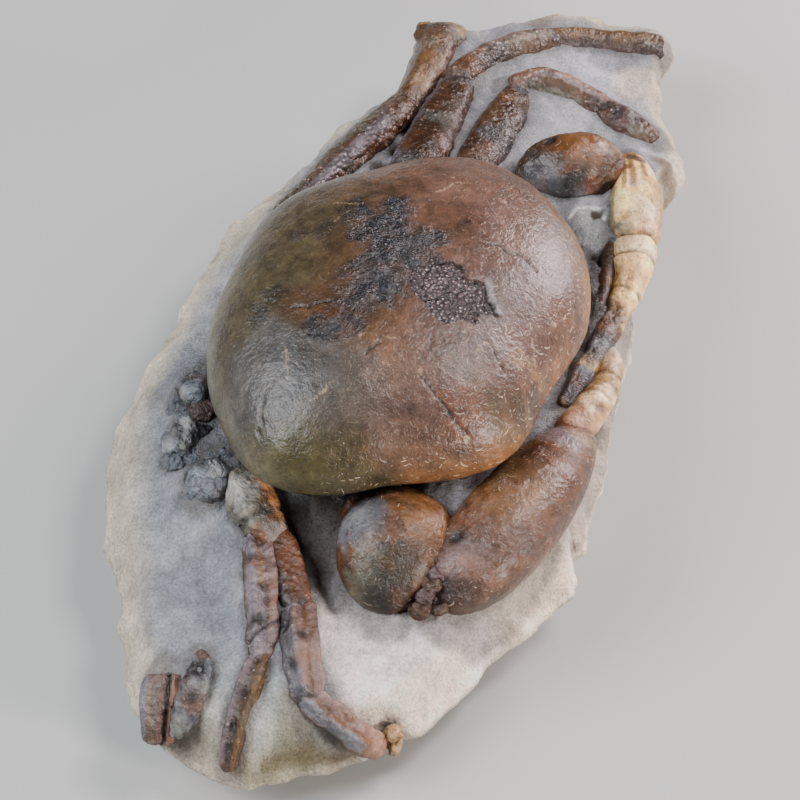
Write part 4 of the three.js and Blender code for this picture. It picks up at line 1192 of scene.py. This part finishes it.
carapace = {
    "centre": (-8.3, -21.3),
    "heading": -26,
    "radii": [48, 54.5, 62, 66, 54, 49.5, 43, 44, 50, 58, 52, 54],   # every 30 degrees
    "marginHeight": 50,
    "domeHeight": 26,
    "domeRoundness": 0.9,
    "tuck": [(1, 50), (0.975, 48), (0.93, 45.5), (0.86, 41.5), (0.79, 36), (0.74, 30)],
    "around": 500,
    "domeRings": 156,
    "tuckRings": 20,
    # Eroded dark places: x, y, radius, strength.
    "worn": [(-13, -2, 8, 0.7), (-3, 0, 8, 0.8), (-9, -9, 9, 0.9), (-4, -8, 8, 0.9), (2, -12, 8, 0.9),
             (-5, -18, 10, 1.0), (-12, -24, 8, 0.9), (-8, -30, 8, 0.9), (-14, -34, 8, 0.8), (0, -22, 9, 0.9),
             (-22, -43, 6, 1.0), (-17, -42, 6, 0.7), (-38, -34, 5, 0.6), (-36, -27, 4, 0.5),
             (-22, -9, 5, 0.4), (-29, -8, 4, 0.4), (4, -30, 6, 0.8)],
    # A patch where the outer skin is gone, with a jagged edge and a grainy floor.
    "bare": [(1, -25), (4, -21.5), (9, -20), (13, -21.5), (12.5, -25), (18, -26), (19, -30.5), (21.5, -34.5),
             (17, -35.5), (15.5, -39.5), (12, -38), (9, -40.5), (5, -38.5), (2.5, -34), (0, -31)],
    # A pale flake beside it.
    "flake": [(18.5, -24.5), (20.5, -25.5), (21, -30), (23, -34), (20.5, -33.5), (18.5, -29.5)],
    # Paint under the colour of the rim, and over it: x, y, radius, colour, strength. Under it, the
    # mauve and slate spots are a painted sheen: pinkish on the right and middle, bluish on the lower left.
    "underPaint": [
        (20, -20, 30, "mauve", 0.2), (22, -42, 24, "plum", 0.3), (2, -56, 20, "mauve", 0.22),
        (14, 8, 18, "mauve", 0.15), (-36, -54, 20, "slate", 0.25), (-22, -60, 18, "slate", 0.15),
    ],
    "paint": [
        (-28, -76, 13, "moss", 0.95), (-15, -76, 12, "moss", 0.7), (-38, -70, 8, "olive", 0.7),
        (-30, -10, 22, "olive", 0.3), (-44, -30, 18, "olive", 0.3), (10, -2.5, 9, "umber", 0.5),
        (12, -13, 7, "umber", 0.3), (-6, -42, 12, "orange", 0.1), (-18, -38, 12, "umber", 0.6),
        (-3, -50, 7, "orange", 0.1), (-24, -34, 12, "umber", 0.6), (31, -44, 5, "ochre", 0.4),
        (27, -42, 4, "tan", 0.2), (14, -60, 9, "rust", 0.2), (26, -57, 9, "olive", 0.3),
        (34, -50, 8, "charcoal", 0.5), (11, -4, 1.4, "pit", 0.7), (-10, -20, 22, "umber", 0.5),
    ],
    # Lines in plan, and chips: x, y, radius.
    "cracks": [[(1.5, -54.5), (4, -57.2), (5, -59), (8, -61), (9, -63), (11.5, -64.5), (14, -66.5)],
               [(19, -43), (20.5, -45), (21, -47), (23.5, -49.5)],
               [(-36, -57), (-36.5, -58.5), (-37.3, -61), (-36.8, -63), (-37.5, -66)],
               [(16, -11), (19, -12.5), (22, -11.8), (24, -13.5), (28, -13.5), (32, -17.5)],
               [(4, -21.5), (9, -20), (13, -21.5)], [(18, -26), (19, -30.5), (21.5, -34.5)],
               [(-20, -33.5), (-26, -35), (-30, -34)], [(-8, -47), (-12, -50)]],
    "scratches": [[(-31.5, -46), (-30.3, -54.5)], [(-24.5, -61.5), (-20, -57.5)],
                  [(-13, -46), (-10.5, -42.5)], [(-2, -46), (-6, -45.5)], [(9, 9), (12, 12.5), (15, 13)],
                  [(9, 9), (6.5, 7)], [(-20, -5), (-17, -1)], [(30, -37), (30.5, -43)],
                  [(16, -45), (19, -43), (21, -44)], [(-14, 3), (-20, 3.5)]],
    "chips": [(16, -46, 1.2), (1.8, -54.2, 1.6), (-37, -60.5, 1.3), (24, 6.5, 1.5), (11, 15, 1.2),
              (36, -30, 1.6), (13.5, -66.5, 1.5), (41, -8, 1.4), (38, -41, 1.8), (32, -12, 1.1),
              (-4, -67, 1.0)],
    # Heights of the relief in millimetres, and depths of what is lost.
    "heights": {"broad": 0.6, "middle": 0.24, "fine": 0.1, "worn": 1.0, "wornDepth": 0.35, "bareGrain": 0.2,
                "bareDepth": 0.55, "flakeDepth": 0.2, "crackDepth": 0.5, "scratch": 0.12},
}
carapacePaint = {
    "right": (0.084, 0.040, 0.022), "left": (0.050, 0.041, 0.023), "smear": (0.010, 0.010, 0.013),
    "bare": (0.085, 0.052, 0.056), "flake": (0.17, 0.155, 0.165),
}


def carapaceRadius(angle):
    # The outline's smooth radius, from its values at even turns after the heading.
    turn = np.mod(angle - math.radians(carapace["heading"]), 2 * math.pi) / (2 * math.pi)
    return along([(r,) for r in carapace["radii"]], turn, closed=True)[..., 0]


def carapaceSurface():
    # Around the outline's smooth radius; over the dome the radius falls as a power of the cosine of
    # the rise while the height follows its sine; below the margin it follows the tuck's rows.
    angle = np.arange(carapace["around"]) / carapace["around"] * 2 * math.pi
    radius = carapaceRadius(angle)
    rise = np.linspace(math.pi / 2, 0, carapace["domeRings"])[1:]
    share = np.cos(rise) ** carapace["domeRoundness"]
    height = carapace["marginHeight"] + carapace["domeHeight"] * np.sin(rise)
    tuck = along(carapace["tuck"], np.linspace(0, 1, carapace["tuckRings"])[1:])
    share = np.concatenate([share, tuck[:, 0]])
    height = np.concatenate([height, tuck[:, 1]])
    spoke = share[:, None] * radius
    x, y = carapace["centre"]
    flat = np.stack([x + spoke * np.cos(angle), y + spoke * np.sin(angle)], axis=-1)
    return np.concatenate([flat, np.broadcast_to(height[:, None, None], (*spoke.shape, 1))], axis=-1)


def makeCarapace(material):
    # The dome, moved along its normals by noise, and lower where it is worn, bare or cracked. Painted from
    # its right to its left ground, with spots, a coloured rim, the smear, the bare patch and fine lines;
    # some spots are a painted sheen, and below the margin it is darker as painted shade.
    rings = carapaceSurface()
    normal = outwardNormals(rings)
    loose = shaken(rings, 5.0, 4.0, 5)
    worn = np.zeros(rings.shape[:2])
    for x, y, radius, strength in carapace["worn"]:
        away = planDistance(loose, x, y) / radius
        worn = np.maximum(worn, strength * (1 - smooth(away, 0.4, 1.0)))
    jagged = shaken(rings, 1.6, 0.9, 51)
    bare = polygonMask(jagged, carapace["bare"], 0.35)
    flake = polygonMask(jagged, carapace["flake"], 0.3)
    crack = np.zeros(rings.shape[:2])
    for line in carapace["cracks"]:
        crack = np.maximum(crack, 0.95 * (1 - smooth(lineDistance(jagged, line), 0.1, 0.5)))
    scratch = np.zeros(rings.shape[:2])
    for line in carapace["scratches"]:
        scratch = np.maximum(scratch, 0.4 * (1 - smooth(lineDistance(jagged, line), 0.0, 0.3)))
    for x, y, radius in carapace["chips"]:
        away = planDistance(jagged, x, y) / radius
        scratch = np.maximum(scratch, 0.5 * (1 - smooth(away, 0.2, 0.6)))
    height = carapace["heights"]
    relief = (height["broad"] * noise(rings, 26.0, 3, 1) + height["middle"] * noise(rings, 8.0, 4, 2)
              + height["fine"] * noise(rings, 2.4, 2, 6))
    relief += worn * (height["worn"] * noise(rings, 2.8, 4, 3) - height["wornDepth"])
    relief += (bare * (height["bareGrain"] * noise(rings, 1.0, 2, 4) - height["bareDepth"])
               - height["flakeDepth"] * flake - height["crackDepth"] * crack + height["scratch"] * scratch)
    rings = rings + normal * relief[..., None]

    rim = smooth(rings[..., 2] + 1.5 * noise(rings, 7.0, 3, 64), 64, 51)
    mottle = noise(rings, 9.0, 4, 61)
    left = smooth(-rings[..., 0] * 0.8 + 9 * noise(rings, 18.0, 3, 62), -4, 26)
    wide = shaken(rings, 12.0, 11.0, 15)
    tint = np.broadcast_to(np.array(carapacePaint["right"]), rings.shape)
    tint = blend(tint, carapacePaint["left"], left * 0.85)
    tint = paintSpots(tint, wide, carapace["underPaint"])
    tint = blend(tint, palette["orange"], rim * (1 - left) * (0.45 + 0.5 * mottle))
    tint = blend(tint, palette["ochre"], rim * smooth(rings[..., 1], -10, 10) * 0.6)
    tint = blend(tint, np.array(palette["olive"]) * 0.7, rim * left * 0.8)
    tint = paintSpots(tint, 0.5 * (loose + wide), carapace["paint"])
    tint = blend(tint, carapacePaint["smear"], worn * (0.95 + 1.1 * noise(rings, 3.2, 4, 63)))
    tint = blend(tint, palette["slate"], worn * smooth(noise(rings, 1.8, 3, 65), 0.25, 0.5) * 0.25)
    tint = blend(tint, carapacePaint["bare"], bare * 0.9)
    tint = blend(tint, carapacePaint["flake"], flake * 0.9)
    tint = blend(tint, palette["pit"], crack * 0.85)
    tint = blend(tint, palette["cream"], scratch * 0.8)
    tint = tint * (1 + 0.6 * mottle + 0.5 * noise(rings, 2.4, 3, 67))[..., None]
    # Painted shade: darker below the margin, where the shell tucks under.
    tint = tint * (1 - 0.5 * smooth(rings[..., 2], 50, 45))[..., None]
    rough = np.clip(worn * 0.7 + bare, 0, 1)
    nodules = np.clip(1.6 * bare + 0.4 * worn, 0, 1.6)
    flecked = np.maximum(smooth(rim * (1 - left), 0.1, 0.6),
                         smooth(0.9 * rings[..., 0] - 0.25 * rings[..., 1], 12, 40))
    band = makeBand(rings, tint, rough=rough, nodules=nodules, fleck=0.12 + 0.88 * flecked, crackle=0)
    makePiece("carapaceShell", [band], material, "carapace")


def makeFloor():
    # One flat square under everything.
    reach = floorLook["reach"]
    corners = [(-reach, -reach, 0), (reach, -reach, 0), (reach, reach, 0), (-reach, reach, 0)]
    mesh = bpy.data.meshes.new("floor")
    mesh.from_pydata(corners, [], [(0, 1, 2, 3)])
    floor = bpy.data.objects.new("floor", mesh)
    bpy.context.collection.objects.link(floor)
    coat = Finish("floorPaper")
    mesh.materials.append(coat.finish(Base_Color=floorLook["colour"], Roughness=floorLook["roughness"]))


makeCamera()
makeLights()
makeFloor()
print("camera, light and floor")
makeStone(stoneFinish())
print("stone")
makeCarapace(shellFinish("carapace"))
print("carapace")
limbFinishes = {kind: shellFinish(kind) for kind in limbLooks}
for number, limbName in enumerate(limbs):
    makeLimb(limbName, limbFinishes[limbKind(limbName)], 100 + 100 * number)
print("legs and claws")
